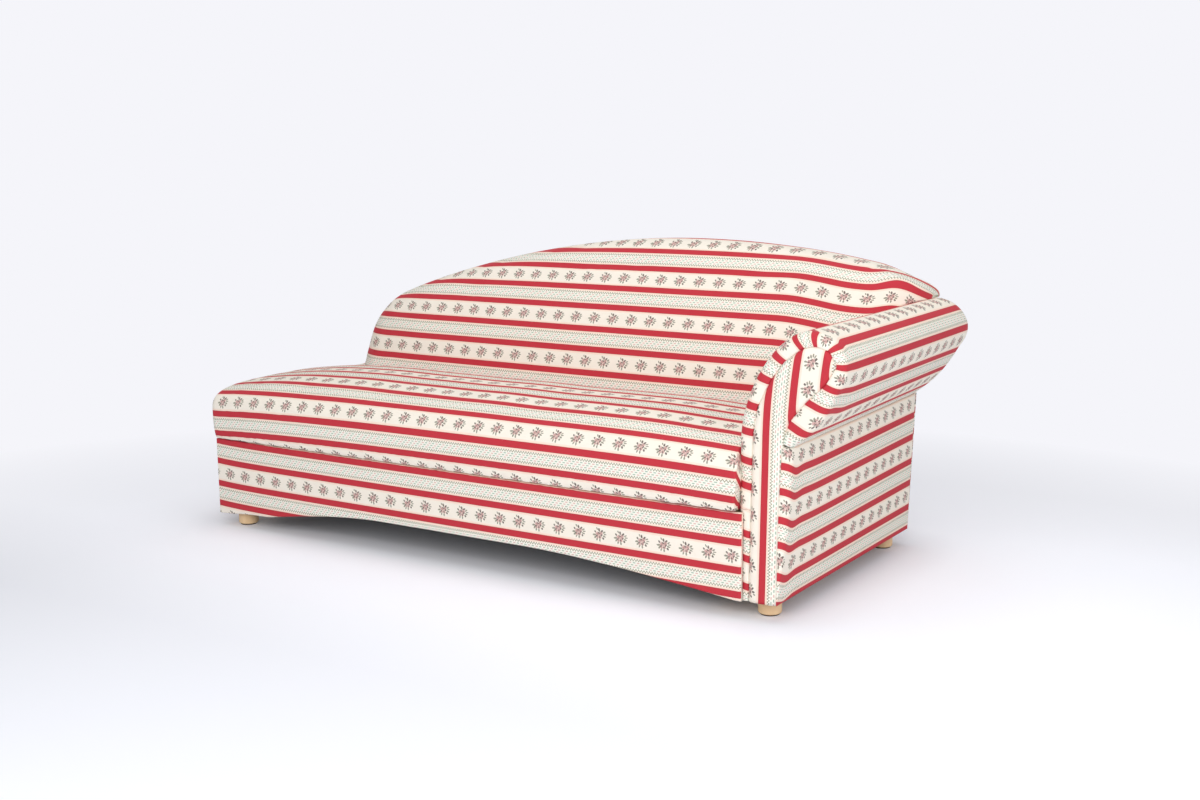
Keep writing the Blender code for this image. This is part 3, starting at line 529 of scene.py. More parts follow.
def smoothed(line, width):
    """A line of evenly spread points with its corners eased over a width."""
    spacing = run_of(line)[-1] / (len(line) - 1)
    kernel = np.hanning(2 * max(int(width / spacing / 2), 1) + 3)[1:-1]
    kernel /= kernel.sum()
    pad = len(kernel) // 2
    longer = np.vstack((2 * line[0] - line[pad:0:-1], line, 2 * line[-1] - line[-2:-pad - 2:-1]))
    return np.column_stack([np.convolve(column, kernel, mode="valid") for column in longer.T])


def evenly(points, count):
    """A line of points spread evenly over a count of points."""
    run = run_of(points)
    places = np.linspace(0.0, run[-1], count)
    return np.column_stack([np.interp(places, run, column) for column in points.T])


def outward_of(line):
    """Unit normals on the left of a line of (x, z) points."""
    along = np.gradient(line, axis=0)
    normal = stacked(-along[:, 1], along[:, 0])
    return normal / np.linalg.norm(normal, axis=1)[:, None]


def ripple(place, pitch, shift):
    """An uneven wave along an edge, between about minus one and one."""
    turn = 2 * math.pi * np.asarray(place) / pitch
    first = np.sin(turn + shift)
    second = np.sin(turn * 1.73 + 2.3 * shift)
    third = np.sin(turn * 0.41 + 5.1 * shift)
    return first * 0.5 + second * 0.3 + third * 0.35


def stacked(*columns):
    """Points from columns of numbers, where a column may be one number for all of them."""
    return np.column_stack(np.broadcast_arrays(*columns))


def gathered(sections):
    """Rings of points, and their places on the cloth, from the sections of a cover."""
    rings, cloth = zip(*sections)
    return np.array(rings), np.array(cloth)


def closed_rings(rings, cloth):
    """A panel whose rows are closed loops: the first column is repeated at the end."""
    points = np.concatenate((rings, rings[:, :1]), axis=1)
    laid = np.concatenate((cloth, cloth[:, -1:]), axis=1)
    return points, laid


def closing(ring, cloth, spine, steps=1, bulge=(0.0, 0.0, 0.0)):
    """A panel that closes a loop of points towards a spine, swelling in a direction."""
    shares = np.linspace(0.0, 1.0, steps + 1)
    rows = []
    for share in shares:
        swell = np.array(bulge) * (1.0 - (1.0 - share) ** 2) ** 0.5
        rows.append(ring + (spine - ring) * share + swell)
    points = np.array(rows)
    points = np.concatenate((points, points[:, :1]), axis=1)
    laid = np.repeat(cloth[None], steps + 1, axis=0)
    laid = np.concatenate((laid, laid[:, :1]), axis=1)
    return points, laid


def linked(name, data):
    """An object with its data, linked to the scene."""
    obj = bpy.data.objects.new(name, data)
    bpy.context.scene.collection.objects.link(obj)
    return obj


def sewn(name, panels, material):
    """One object from panels of points, in the settee's coordinates, sewn where their edges meet."""
    bm = bmesh.new()
    cloth_layer = bm.loops.layers.uv.new("cloth")
    for points, cloth in panels:
        rows, columns = points.shape[:2]
        verts = [[bm.verts.new(Vector(place) + CORNER) for place in row] for row in points]
        for i in range(rows - 1):
            for j in range(columns - 1):
                corners = ((i, j), (i, j + 1), (i + 1, j + 1), (i + 1, j))
                face = bm.faces.new([verts[a][b] for a, b in corners])
                face.smooth = True
                for loop, (a, b) in zip(face.loops, corners):
                    loop[cloth_layer].uv = cloth[a, b]
    bmesh.ops.remove_doubles(bm, verts=bm.verts, dist=SEAM_WELD)
    bmesh.ops.dissolve_degenerate(bm, edges=bm.edges, dist=SLIVER)
    bmesh.ops.recalc_face_normals(bm, faces=bm.faces)
    mesh = bpy.data.meshes.new(name)
    bm.to_mesh(mesh)
    bm.free()
    mesh.materials.append(material)
    return linked(name, mesh)


def settle(obj, held, fit):
    """Lets a cover settle over its filling: a short cloth simulation whose result stays in the mesh.

    Only the swelling is kept, so the cover never sinks below its form.
    """
    scene = bpy.context.scene
    start = np.empty(len(obj.data.vertices) * 3)
    obj.data.vertices.foreach_get("co", start)
    places = start.reshape(-1, 3)
    pinned = obj.vertex_groups.new(name="held")
    pinned.add(np.flatnonzero(held(places - np.array(CORNER))).tolist(), 1.0, "REPLACE")
    modifier = obj.modifiers.new("settle", "CLOTH")
    modifier.point_cache.frame_start = 1
    modifier.point_cache.frame_end = SETTLE_FRAMES
    cover = modifier.settings
    cover.quality = 4
    cover.tension_stiffness = cover.compression_stiffness = fit.stiffness
    cover.bending_stiffness = fit.bending
    cover.use_pressure = True
    cover.uniform_pressure_force = fit.pressure
    cover.vertex_group_mass = pinned.name
    cover.effector_weights.gravity = 0.0
    for number in range(1, SETTLE_FRAMES + 1):
        scene.frame_set(number)
    settled = np.empty_like(start)
    obj.evaluated_get(bpy.context.evaluated_depsgraph_get()).data.vertices.foreach_get("co", settled)
    obj.modifiers.remove(modifier)
    obj.vertex_groups.remove(pinned)
    scene.frame_set(1)
    moved = settled.reshape(-1, 3) - places
    outwards = np.empty_like(start)
    obj.data.vertices.foreach_get("normal", outwards)
    outwards = outwards.reshape(-1, 3)
    moved -= outwards * np.minimum((moved * outwards).sum(axis=1), 0.0)[:, None]
    reach = np.linalg.norm(moved, axis=1)
    moved *= (fit.settle_most / (fit.settle_most + reach))[:, None]
    obj.data.vertices.foreach_set("co", (places + moved).ravel())
    obj.data.update()


def upholster(obj, *nodes, fill=0.9):
    """Attaches a padded piece to the body and hides the frame nodes that it stands for."""
    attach(obj, BODY)
    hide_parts(*nodes)


def rear_y(height, depth=0.0):
    """Depth of the raked rear plane at a height, or of a plane that lies inside it."""
    return BASE_DEPTH + height * math.tan(RAKE) - depth / math.cos(RAKE)


# Seat

SEAT_LEDGE = BACK_BOTTOM
SEAT_WIDEST = SEAT_BOTTOM + 0.073
SEAT_TUCK = 0.011
SEAT_CREST_DEPTH = 0.27
SEAT_CREASE = 0.466
SEAT_END_ROUND = 0.03
SEAT_ARM_ROUND = 0.005
SEAT_END_DROP = 0.043
SEAT_ARM_DROP = 0.012
SEAT_DROP_RUN = 0.42
SEAT_RED_HEIGHT = 0.3045
SEAT_RED_FALL = 0.023
SEAT_RED_RUN = 0.33
SEAT_ARM_FALL = 0.0075
SEAT_ARM_RUN = 0.15
SEAT_ARM_TURN = 1.0
SEAT_TUCK_POWER = 2.0
SEAT_FRONT_POWER = 2.6
SEAT_REAR_POWER = 2.2
SEAT_END_BOXED = 1.4
SEAT_FRONT_ROWS = 20
SEAT_PUCKER_SHIFT = 0.4
SEAT_WAVE = (0.43, 1.9)
SEAT_END_STEPS = 8
SEAT_END_INSET = 0.12
SEAT_END_BULGE = 0.008
SEAT_HELD_RISE = 0.008
SEAT_HELD_END = 0.006
SEAT_TOP_FADE = 0.02
SEAT_ARM_SWELL = 0.010
SEAT_SWELL_AHEAD = 0.02
SEAT_SWELL_END = 0.002
SEAT_SWELL_DROP = 0.03
SEAT_SWELL_RUN = 0.05


def seat_red(x):
    """Height of the first red stripe on the seat's front, which falls towards both ends."""
    open_fall = SEAT_RED_FALL * math.exp(-(x - SEAT_LEFT) / SEAT_RED_RUN)
    arm_fall = SEAT_ARM_FALL * math.exp(-(SEAT_RIGHT - x) / SEAT_ARM_RUN)
    return SEAT_RED_HEIGHT - open_fall - arm_fall


def seat_profile(inset, drop, boxed, rear):
    """The seat's cross-section in y and z, from its lower front edge over the top to the rear."""
    front = SEAT_FRONT + inset
    ledge = SEAT_LEDGE - inset
    lowest = (front + SEAT_TUCK, SEAT_BOTTOM)
    widest = (front, SEAT_WIDEST)
    crest = (SEAT_CREST_DEPTH, SEAT_CREST - inset - drop)
    points = np.vstack((
        [lowest],
        quarter(lowest, widest, SEAT_TUCK_POWER, 10, upright_first=False),
        quarter(widest, crest, SEAT_FRONT_POWER + boxed, 44, upright_first=True),
        quarter(crest, (SEAT_CREASE, ledge), SEAT_REAR_POWER, 30, upright_first=False),
    ))
    ledge_run = np.linspace(SEAT_CREASE, rear - SEAT_TUCK, 10)[1:]
    back = [(y, ledge) for y in ledge_run] + [(rear, ledge - SEAT_TUCK), (rear, SEAT_BOTTOM)]
    return np.vstack((points, back))


def seat_stations():
    """Places along the seat with how far the section has drawn in there."""
    turn = np.linspace(0.0, math.pi / 2, 9)
    across, drawn = 1 - np.cos(turn), 1 - np.sin(turn)
    left = stacked(SEAT_LEFT + SEAT_END_ROUND * across, SEAT_END_ROUND * drawn)
    right = stacked(SEAT_RIGHT - SEAT_ARM_ROUND * across, SEAT_ARM_ROUND * drawn)
    end = np.linspace(SEAT_LEFT + SEAT_END_ROUND, SEAT_NOTCH, 24)[1:]
    middle = np.linspace(SEAT_NOTCH + NOTCH_STEP, SEAT_RIGHT - SEAT_ARM_ROUND, 110)[:-1]
    level = np.concatenate((end, middle))
    return np.vstack((left, stacked(level, 0.0), right[::-1]))


def end_fade(distance):
    """One at an end of the seat, easing to nothing along the seat."""
    return 1.0 - math.sin(min(distance / SEAT_DROP_RUN, 1.0) * math.pi / 2)


def seat_sections(fit):
    """The seat's cover from end to end: puckered along its front seam and puffed out ahead of the arm."""
    stations = seat_stations()
    along = run_of(stations)
    level = len(stations) // 2
    along += stations[level, 0] - along[level] + SPRIG_SHIFT
    for (x, inset), u in zip(stations, along):
        open_end = end_fade(x - SEAT_LEFT)
        drop = SEAT_END_DROP * open_end + SEAT_ARM_DROP * end_fade(SEAT_RIGHT - x)
        rear = SEAT_END_REAR if x <= SEAT_NOTCH else rear_y(SEAT_BOTTOM, BACK_STACK) - SKIN_GAP
        profile = seat_profile(inset, drop, SEAT_END_BOXED * open_end, rear - inset)
        depth, height = profile.T
        run = run_of(profile)
        red_start = np.interp(seat_red(x), height[:SEAT_FRONT_ROWS], run[:SEAT_FRONT_ROWS])
        near_seam = np.exp(-(run / PUCKER_REACH) ** 2)
        wave = ripple(u, fit.pucker_pitch, SEAT_PUCKER_SHIFT) * fit.pucker * near_seam
        swell = ripple(u, *SEAT_WAVE) * fit.slack * eased(height, SEAT_LEDGE - SEAT_TOP_FADE, SEAT_CREST)
        ahead = 1.0 - eased(depth, ARM_FRONT - SEAT_SWELL_AHEAD, ARM_FRONT - SEAT_SWELL_END)
        puffed = ahead * eased(height, SEAT_BOTTOM - SEAT_SWELL_DROP, SEAT_WIDEST)
        sideways = SEAT_ARM_SWELL * puffed * eased(x, SEAT_RIGHT - SEAT_SWELL_RUN, SEAT_RIGHT)
        ring = stacked(x + sideways, depth - wave, height + wave * PUCKER_RISE + swell)
        yield ring, stacked(u, run - red_start)


def seat_end(ring, laid, outwards, fall):
    """The panel that closes an end of the seat: its stripes go on from the front, and can fall."""
    spine = ring.copy()
    spine[:, 0] = ring[:, 0].min()
    rear = ring[:, 1].max()
    spine[:, 1] = np.clip(ring[:, 1], SEAT_FRONT + SEAT_END_INSET, rear - SEAT_END_INSET)
    spine[:, 2] = (SEAT_BOTTOM + SEAT_LEDGE) / 2
    points, _ = closing(ring, laid, spine, SEAT_END_STEPS, (outwards, 0.0, 0.0))
    first = np.concatenate((laid[:, 1], laid[:1, 1]))
    behind = points[:, :, 1] - points[:1, :, 1]
    level = points[:, :, 2] - points[:1, :, 2]
    cloth = np.stack((-points[:, :, 1], first + level + fall * behind), axis=2)
    return points, cloth


def seat_held(places):
    """The sewn and hidden parts of the seat: its lower edge, behind the crease and beside the arm."""
    x, y, z = places.T
    sewn_in = (z < SEAT_BOTTOM + SEAT_HELD_RISE) | (y > SEAT_CREASE - HELD_MARGIN)
    return sewn_in | (x > SEAT_RIGHT - SEAT_HELD_END)


class SETTEE_OT_seat(bpy.types.Operator):
    """Upholster the seat: one crowned pad, sewn in along its lower front edge"""

    bl_idname = "settee.seat"
    bl_label = "Seat"

    def execute(self, context):
        fit = context.scene.settee_upholstery
        rings, cloth = gathered(seat_sections(fit))
        panels = [closed_rings(rings, cloth)]
        panels.append(seat_end(rings[0], cloth[0], -SEAT_END_BULGE, 0.0))
        panels.append(seat_end(rings[-1], cloth[-1], 0.0, SEAT_ARM_TURN))
        obj = sewn("seat_pad", panels, cloth_material(context))
        settle(obj, seat_held, fit)
        upholster(obj, "seat_cushion", fill=0.95)
        return {"FINISHED"}


# Base covers

COVER_THICKNESS = 0.012
COVER_ROUND = 0.005
COVER_ROWS = 30
COVER_PUFF = 0.0015
COVER_PUCKER = 0.7
COVER_PUCKER_REACH = 0.02
COVER_PUCKER_SHIFT = 2.2
COVER_WAVE = (0.37, 0.3)
COVER_SLACK = 0.5
END_WAVE = (0.31, 1.1)
END_WAVE_HEIGHT = 0.0005
ARCH_RISE = 0.045
ARCH_LEFT_FLAT = 0.20
ARCH_LEFT_RUN = 0.45
ARCH_RIGHT_RUN = 0.65
CORNER_HANG = 0.011
CORNER_HANG_RUN = 0.10
BASE_RED_HEIGHT = 0.063
BASE_RED_LIFT = 0.006
BASE_LIFT_RUN = 0.09


def hang(distance):
    """How far the covers hang below the frame at a distance from the open end's front corner."""
    return CORNER_HANG * np.exp(-((distance / CORNER_HANG_RUN) ** 2))


def arch_bottom(x):
    """Height of the base's lower edge, which arches up between the feet."""
    from_left = np.clip((x - LEFT_END - ARCH_LEFT_FLAT) / ARCH_LEFT_RUN, 0.0, 1.0)
    from_right = np.clip((ARM_INNER - x) / ARCH_RIGHT_RUN, 0.0, 1.0)
    rise = ARCH_RISE * np.sin(from_left * math.pi / 2) * np.sin(from_right * math.pi / 2)
    return BASE_BOTTOM + rise - hang(x - LEFT_END)


def cover_ring(low):
    """A cover's section as (depth, height), from its lower inner edge over its face to the upper one."""
    turn = np.linspace(0.0, math.pi / 2, 5)
    early, late = COVER_ROUND * (1 - np.sin(turn)), COVER_ROUND * (1 - np.cos(turn))
    heights = np.linspace(low + COVER_ROUND, BASE_TOP - COVER_ROUND, COVER_ROWS)[1:-1]
    share = (heights - low) / (BASE_TOP - low)
    face = stacked(-COVER_PUFF * np.sin(share * math.pi) ** 0.5, heights)
    lower = stacked(early, low + late)
    upper = stacked(late, BASE_TOP - early)
    return np.vstack(([(COVER_THICKNESS, low)], lower, face, upper, [(COVER_THICKNESS, BASE_TOP)]))


def front_cover_sections(fit):
    """The base's front cover from end to end, puckered along its upper edge."""
    turn = COVER_ROUND * (1.0 - np.cos(np.linspace(0.0, math.pi / 2, 6)))
    level = np.linspace(LEFT_END + COVER_ROUND, COVER_RIGHT - COVER_ROUND, 150)[1:-1]
    for x in np.concatenate((LEFT_END + turn, level, COVER_RIGHT - turn[::-1])):
        section = cover_ring(float(arch_bottom(x)))
        depth, height = section.T
        near_top = np.exp(-((BASE_TOP - height) / COVER_PUCKER_REACH) ** 2)
        wave = ripple(x, fit.pucker_pitch, COVER_PUCKER_SHIFT) * fit.pucker * COVER_PUCKER * near_top
        soft = ripple(x, *COVER_WAVE) * fit.slack * COVER_SLACK
        from_end = min(x - LEFT_END, COVER_RIGHT - x, COVER_ROUND) / COVER_ROUND
        corner = COVER_ROUND * (1.0 - math.sqrt(1.0 - (1.0 - from_end) ** 2))
        over = run_of(section)
        face_start = over[3] - height[3]
        across = np.where(height < BASE_TOP - COVER_ROUND, over - face_start, height)
        lift = BASE_RED_LIFT * math.exp(-(x - LEFT_END) / BASE_LIFT_RUN)
        ring = stacked(x, np.maximum(depth - wave + soft, corner), height)
        yield ring, stacked(x + SPRIG_SHIFT, across - BASE_RED_HEIGHT - lift)


def left_cover_sections():
    """The cover of the base's open end, from its front corner to the rear."""
    rear = rear_y(BASE_BOTTOM, PANEL_THICKNESS) - SKIN_GAP
    for y in np.linspace(COVER_ROUND, rear, 70):
        depth, height = cover_ring(BASE_BOTTOM - hang(y)).T
        depth = depth + ripple(y, *END_WAVE) * END_WAVE_HEIGHT
        along = LEFT_END - y + SPRIG_SHIFT
        yield stacked(LEFT_END + depth, y, height), stacked(along, height - BASE_RED_HEIGHT - BASE_RED_LIFT)


def capped(rings, cloth):
    """Closed rings with both ends closed flat."""
    panels = [closed_rings(rings, cloth)]
    for end in (0, -1):
        spine = np.repeat(rings[end].mean(axis=0)[None], rings.shape[1], axis=0)
        panels.append(closing(rings[end], cloth[end], spine))
    return panels


class SETTEE_OT_base_covers(bpy.types.Operator):
    """Cover the front of the base, with its arched lower edge, and the open end of the base"""

    bl_idname = "settee.base_covers"
    bl_label = "Base covers"

    def execute(self, context):
        fit = context.scene.settee_upholstery
        material = cloth_material(context)
        for name, sections, node in (
            ("base_front", front_cover_sections(fit), "base_front_cover"),
            ("base_left", left_cover_sections(), "base_left_cover"),
        ):
            upholster(sewn(name, capped(*gathered(sections)), material), node, fill=1.0)
        return {"FINISHED"}


# Arm

ARM_SWEEP_START = 0.44
ARM_SWEEP_POWER = 1.7
ARM_EDGE_ROUND = 0.022
ARM_REAR_ROUND = 0.030
ARM_LINING = 0.028
ROLL_REACH = 0.066
ROLL_HEIGHT = 0.622
ROLL_RADIUS = ARM_CREST - ROLL_HEIGHT
ROLL_SPREAD = ARM_OUTERMOST - ROLL_REACH - ROLL_RADIUS
UNDERSIDE_BULGE = 0.015
CREASE_HEIGHT = 0.428
CREASE_TUCK = 0.004
CREST_TO_RED = 0.0638
REAR_BULGE = 0.013
REAR_TOP_ROUND = 0.032
REAR_TOP_FADE = 0.01
EDGE_ROUND_SHARE = 0.85
LINING_MARGIN = 0.004
FRONT_CROWDING = 1.5
ARM_JOIN = -0.575
ARM_JOIN_SHIFT = 0.0477
ARM_JOIN_DEPTH = 0.007
CREASE_SLIP = 0.006
CREASE_SLIP_RANGE = (0.27, 0.305)
CREST_SLIP = 0.007
CREST_SLIP_RUN = 0.03
INNER_SLIP = 0.014
INNER_SLIP_RANGE = (-0.022, 0.0)
ARM_SMOOTHING = 0.03
DRAWN_START = 0.015
DRAWN_RUN = 0.05
DRAWN_MORE = 0.07
DRAWN_MORE_RANGE = (0.0, 0.15)
PANEL_TOP = CREASE_HEIGHT - 0.0015
PANEL_RED_HEIGHT = 0.049
SIDE_LIFT = 0.020
SIDE_LIFT_RISE = 0.13
SIDE_LIFT_RUN = 0.05
SIDE_DIP = 0.008
SIDE_DIP_PLACE = 0.036
SIDE_DIP_RUN = 0.032
SIDE_ROUND = 0.006
SIDE_LINING = 0.018
FACING_DEPTH = 0.012
FACING_STRETCH = 0.04
FACING_STRETCH_RANGE = (0.40, 0.55)
FACING_BEND = 0.56
FACING_EDGE_RUN = 0.006
FACING_RED = -0.0382
FACING_RED_LEAN = 0.0165
FACING_RED_CURVE = 0.35
FACING_CURVE_START = 0.45
FACING_SPRIG_SHIFT = -0.011

# How a seam sinks in: share of the way from the seam, then share of its depth
SEAM_SINK = ((0.0, 1.0), (0.035, 0.62), (0.09, 0.25), (0.2, 0.1), (0.6, 0.0), (1.0, 0.0))

# How far the cloth of the arm is drawn along its front edge: cloth place, then distance
ARM_SLIP = np.array((
    (-0.80, 0.010),
    (-0.36, 0.010),
    (-0.26, 0.017),
    (-0.20, 0.027),
    (-0.12, 0.030),
    (0.05, 0.000),
    (0.18, -0.015),
    (0.305, 0.006),
))

# The seam round the arm's front panel: cloth place on the arm's edge, then x and z
FACING_SEAM = np.array((
    (-0.7937, -0.0755, 0.0463),
    (-0.446, -0.0690, 0.394),
    (-0.386, -0.0672, 0.456),
    (-0.326, -0.0570, 0.516),
    (-0.257, -0.0240, 0.581),
    (-0.197, 0.0100, 0.628),
    (-0.129, 0.0560, 0.6615),
    (-0.0685, 0.0890, 0.6680),
    (0.000, 0.1220, 0.6600),
    (0.060, 0.1420, 0.6270),
    (0.129, 0.1120, 0.5800),
    (0.189, 0.0680, 0.5410),
    (0.257, 0.0230, 0.4870),
    (0.305, 0.0090, 0.4290),
))

# The same seam beside the outer side: height, then x
SIDE_SEAM = np.array(((0.0463, -0.0014), (0.249, 0.0006), (0.406, 0.0069), (0.4290, 0.0090)))


def arm_contour(bulge):
    """The arm from the foot of its inner face, over the roll, to the crease: points and cloth places."""
    start = (ARM_INNER, ARM_SWEEP_START)
    crest = (ROLL_REACH, ARM_CREST)
    sweep = quarter(start, crest, ARM_SWEEP_POWER, 60, upright_first=True)
    low = np.array((0.0, CREASE_HEIGHT))
    rise = ROLL_HEIGHT - CREASE_HEIGHT
    slant = math.atan2(rise, ROLL_REACH) - math.asin(ROLL_RADIUS / math.hypot(rise, ROLL_REACH))
    turn = np.linspace(math.pi / 2, slant - math.pi / 2, 60)[1:]
    roll = stacked(np.cos(turn), np.sin(turn)) * ROLL_RADIUS + (ROLL_REACH, ROLL_HEIGHT)
    high = roll[-1]
    outward = np.array((high[1] - low[1], low[0] - high[0]))
    outward /= np.linalg.norm(outward)
    share = np.linspace(0.0, 1.0, 30)[1:, None]
    underside = high + (low - high) * share + outward * bulge * np.sin(share * math.pi)
    points = np.vstack(([(ARM_INNER, BASE_BOTTOM), start], sweep, roll, underside))
    run = run_of(points)
    line = smoothed(evenly(points, 240), ARM_SMOOTHING)
    cloth = np.linspace(0.0, run[-1], len(line)) - run[1 + len(sweep)] - CREST_TO_RED
    return line, cloth - CREASE_SLIP * eased(cloth, *CREASE_SLIP_RANGE)


def front_cloth(cloth):
    """Cloth places on the arm's front edge, where the cover is drawn along the edge."""
    return cloth - np.interp(cloth, ARM_SLIP[:, 0], ARM_SLIP[:, 1])


def rear_rounding(line):
    """Radius of the arm's rear edge along its contour: larger on top of the roll."""
    return ARM_REAR_ROUND + REAR_TOP_ROUND * eased(line[:, 1], ROLL_HEIGHT - REAR_TOP_FADE, ARM_CREST)


def roll_spread(line, fit):
    """How far the roll stands out at the arm's front, beyond the same points at its rear."""
    over = ROLL_SPREAD * np.clip(line[:, 0] - ROLL_REACH, 0.0, None) / ROLL_RADIUS
    share = (ROLL_HEIGHT - line[:, 1]) / (ROLL_HEIGHT - CREASE_HEIGHT)
    under = ROLL_SPREAD + (fit.arm_flare - ROLL_SPREAD) * share**2
    past_crest = np.arange(len(line)) > line[:, 1].argmax()
    return np.where(line[:, 1] > ROLL_HEIGHT, over, under) * past_crest


def facing_seam(cloth):
    """The seam of the front panel beside each cloth place on the arm's edge, as x and z."""
    seam = np.column_stack([np.interp(cloth, FACING_SEAM[:, 0], column) for column in FACING_SEAM[:, 1:].T])
    return smoothed(seam, ARM_SMOOTHING)


def border_rows(seam, edge, fit):
    """From the seam out to the arm's front edge: places in x and z, depths and how far along the cloth."""
    reach = np.linalg.norm(edge - seam, axis=1)
    direction = (edge - seam) / reach[:, None]
    rounding = np.minimum(ARM_EDGE_ROUND, reach * EDGE_ROUND_SHARE)
    flat = reach - rounding
    curl = rounding * math.pi / 2
    rows = []
    for share, sunk in SEAM_SINK:
        depth = np.full_like(reach, ARM_FRONT + sunk * fit.seam_depth)
        rows.append((seam + direction * (flat * share)[:, None], depth, flat * (share - 1.0) - curl))
    for turn in np.linspace(0.0, math.pi / 2, 9)[1:]:
        out = flat + rounding * math.sin(turn)
        depth = ARM_FRONT + rounding * (1.0 - math.cos(turn))
        rows.append((seam + direction * out[:, None], depth, rounding * (turn - math.pi / 2)))
    return rows, rounding


def woven(columns, cloth):
    """A panel from columns of places in x and z, depths and places along the cloth."""
    rings = [stacked(place[:, 0], depth, place[:, 1]) for place, depth, along in columns]
    laid = [stacked(along, cloth) for place, depth, along in columns]
    return np.stack(rings, axis=1), np.stack(laid, axis=1)


def side_columns(edge, line, seam, inwards, rounding, fit):
    """A cover of the arm from its front seam, over its front edge, to the rounded edge of its rear line."""
    border, edge_round = border_rows(seam, edge, fit)
    columns = [(place, depth, along + ARM_FRONT) for place, depth, along in border]
    front = ARM_FRONT + edge_round
    rear = rear_y(line[:, 1], PANEL_THICKNESS) - SKIN_GAP
    for share in np.linspace(0.0, 1.0, 36)[1:] ** FRONT_CROWDING:
        depth = front + (rear - rounding - front) * share
        columns.append((edge + (line - edge) * share, depth, depth - edge_round))
    for turn in np.linspace(0.0, math.pi / 2, 5)[1:]:
        depth = rear - rounding * (1.0 - math.sin(turn))
        drawn = np.broadcast_to(rounding * (1.0 - math.cos(turn)), len(line))
        columns.append((line + inwards * drawn[:, None], depth, depth - edge_round))
    return columns, rear


def arm_pad_panels(fit):
    """The cover of the arm: its lower front is a piece of its own, joined level with the seat's seam."""
    edge, cloth = arm_contour(UNDERSIDE_BULGE)
    edge[:, 0] += roll_spread(edge, fit)
    line, _ = arm_contour(REAR_BULGE)
    join = int(np.searchsorted(front_cloth(cloth), ARM_JOIN))
    rows = np.insert(np.arange(len(cloth)), join, join)
    edge, line, cloth = edge[rows], line[rows], cloth[rows]
    seam = facing_seam(front_cloth(cloth))
    inwards = -outward_of(line)
    columns, rear = side_columns(edge, line, seam, inwards, rear_rounding(line), fit)
    lining = np.maximum(ARM_LINING, rear_rounding(line) + LINING_MARGIN)
    columns.append((line + inwards * lining[:, None], rear, rear))
    columns.append((seam, np.full_like(rear, ARM_FRONT + FACING_DEPTH), rear))
    rings, laid = woven(columns, cloth)
    reach = ARM_FRONT + DRAWN_RUN + DRAWN_MORE * eased(cloth, *DRAWN_MORE_RANGE)
    drawn = 1.0 - eased(rings[:, :, 1], ARM_FRONT + DRAWN_START, reach[:, None])
    laid[:, :, 1] -= (cloth - front_cloth(cloth))[:, None] * drawn
    crest_slip = CREST_SLIP * np.exp(-((cloth + CREST_TO_RED) / CREST_SLIP_RUN) ** 2)
    crest_slip += INNER_SLIP * (1.0 - eased(cloth + CREST_TO_RED, *INNER_SLIP_RANGE))
    laid[:, :, 1] += crest_slip[:, None] * (1.0 - drawn)
    laid[:join + 1, :, 1] += ARM_JOIN_SHIFT
    rings[join:join + 2, 1:6, 1] += ARM_JOIN_DEPTH
    return rings, laid


def outer_side_panels(fit):
    """The arm's outer side, with its stripes lifted beside the front edge."""
    heights = np.linspace(PANEL_TOP, BASE_BOTTOM, 110)
    seam = stacked(np.interp(heights, SIDE_SEAM[:, 0], SIDE_SEAM[:, 1]), heights)
    share = (heights - BASE_BOTTOM) / (PANEL_TOP - BASE_BOTTOM)
    line = stacked(-CREASE_TUCK * np.exp((heights - PANEL_TOP) / CREASE_TUCK), heights)
    inwards = np.array((-1.0, 0.0))
    edge = stacked(line[:, 0] + fit.arm_flare * np.sin(share * math.pi / 2), heights)
    columns, rear = side_columns(edge, line, seam, inwards, SIDE_ROUND, fit)
    inner = stacked(-SIDE_LINING, heights)
    columns.append((inner, rear, rear))
    columns.append((inner, np.full_like(heights, ARM_FRONT + FACING_DEPTH), rear))
    rings, laid = woven(columns, heights - PANEL_RED_HEIGHT)
    lift = SIDE_LIFT * np.clip((heights - BASE_BOTTOM) / SIDE_LIFT_RISE, 0.0, 1.0)
    behind = rings[:, :, 1] - ARM_FRONT
    laid[:, :, 1] -= lift[:, None] * np.exp(-behind / SIDE_LIFT_RUN)
    laid[:, :, 1] += SIDE_DIP * np.exp(-((behind - SIDE_DIP_PLACE) / SIDE_DIP_RUN) ** 2)
    return rings, laid


def facing_sides(heights):
    """Left and right edges of the arm's front panel at heights."""
    seam = facing_seam(front_cloth(arm_contour(UNDERSIDE_BULGE)[1]))
    top = seam[:, 1].argmax()
    left = seam[:top + 1]
    right = np.vstack((SIDE_SEAM[:-1, ::-1], seam[top:][::-1]))
    left_x, right_x = (np.interp(heights, side[:, 1], side[:, 0]) for side in (left, right))
    return left_x, right_x, seam[top, 1]


def facing_red(height):
    """Where the first red stripe of the front panel stands at a height: it leans, more so near the top."""
    curve = FACING_RED_CURVE * np.clip(height - FACING_CURVE_START, 0.0, None) ** 2
    return FACING_RED + FACING_RED_LEAN * height + curve


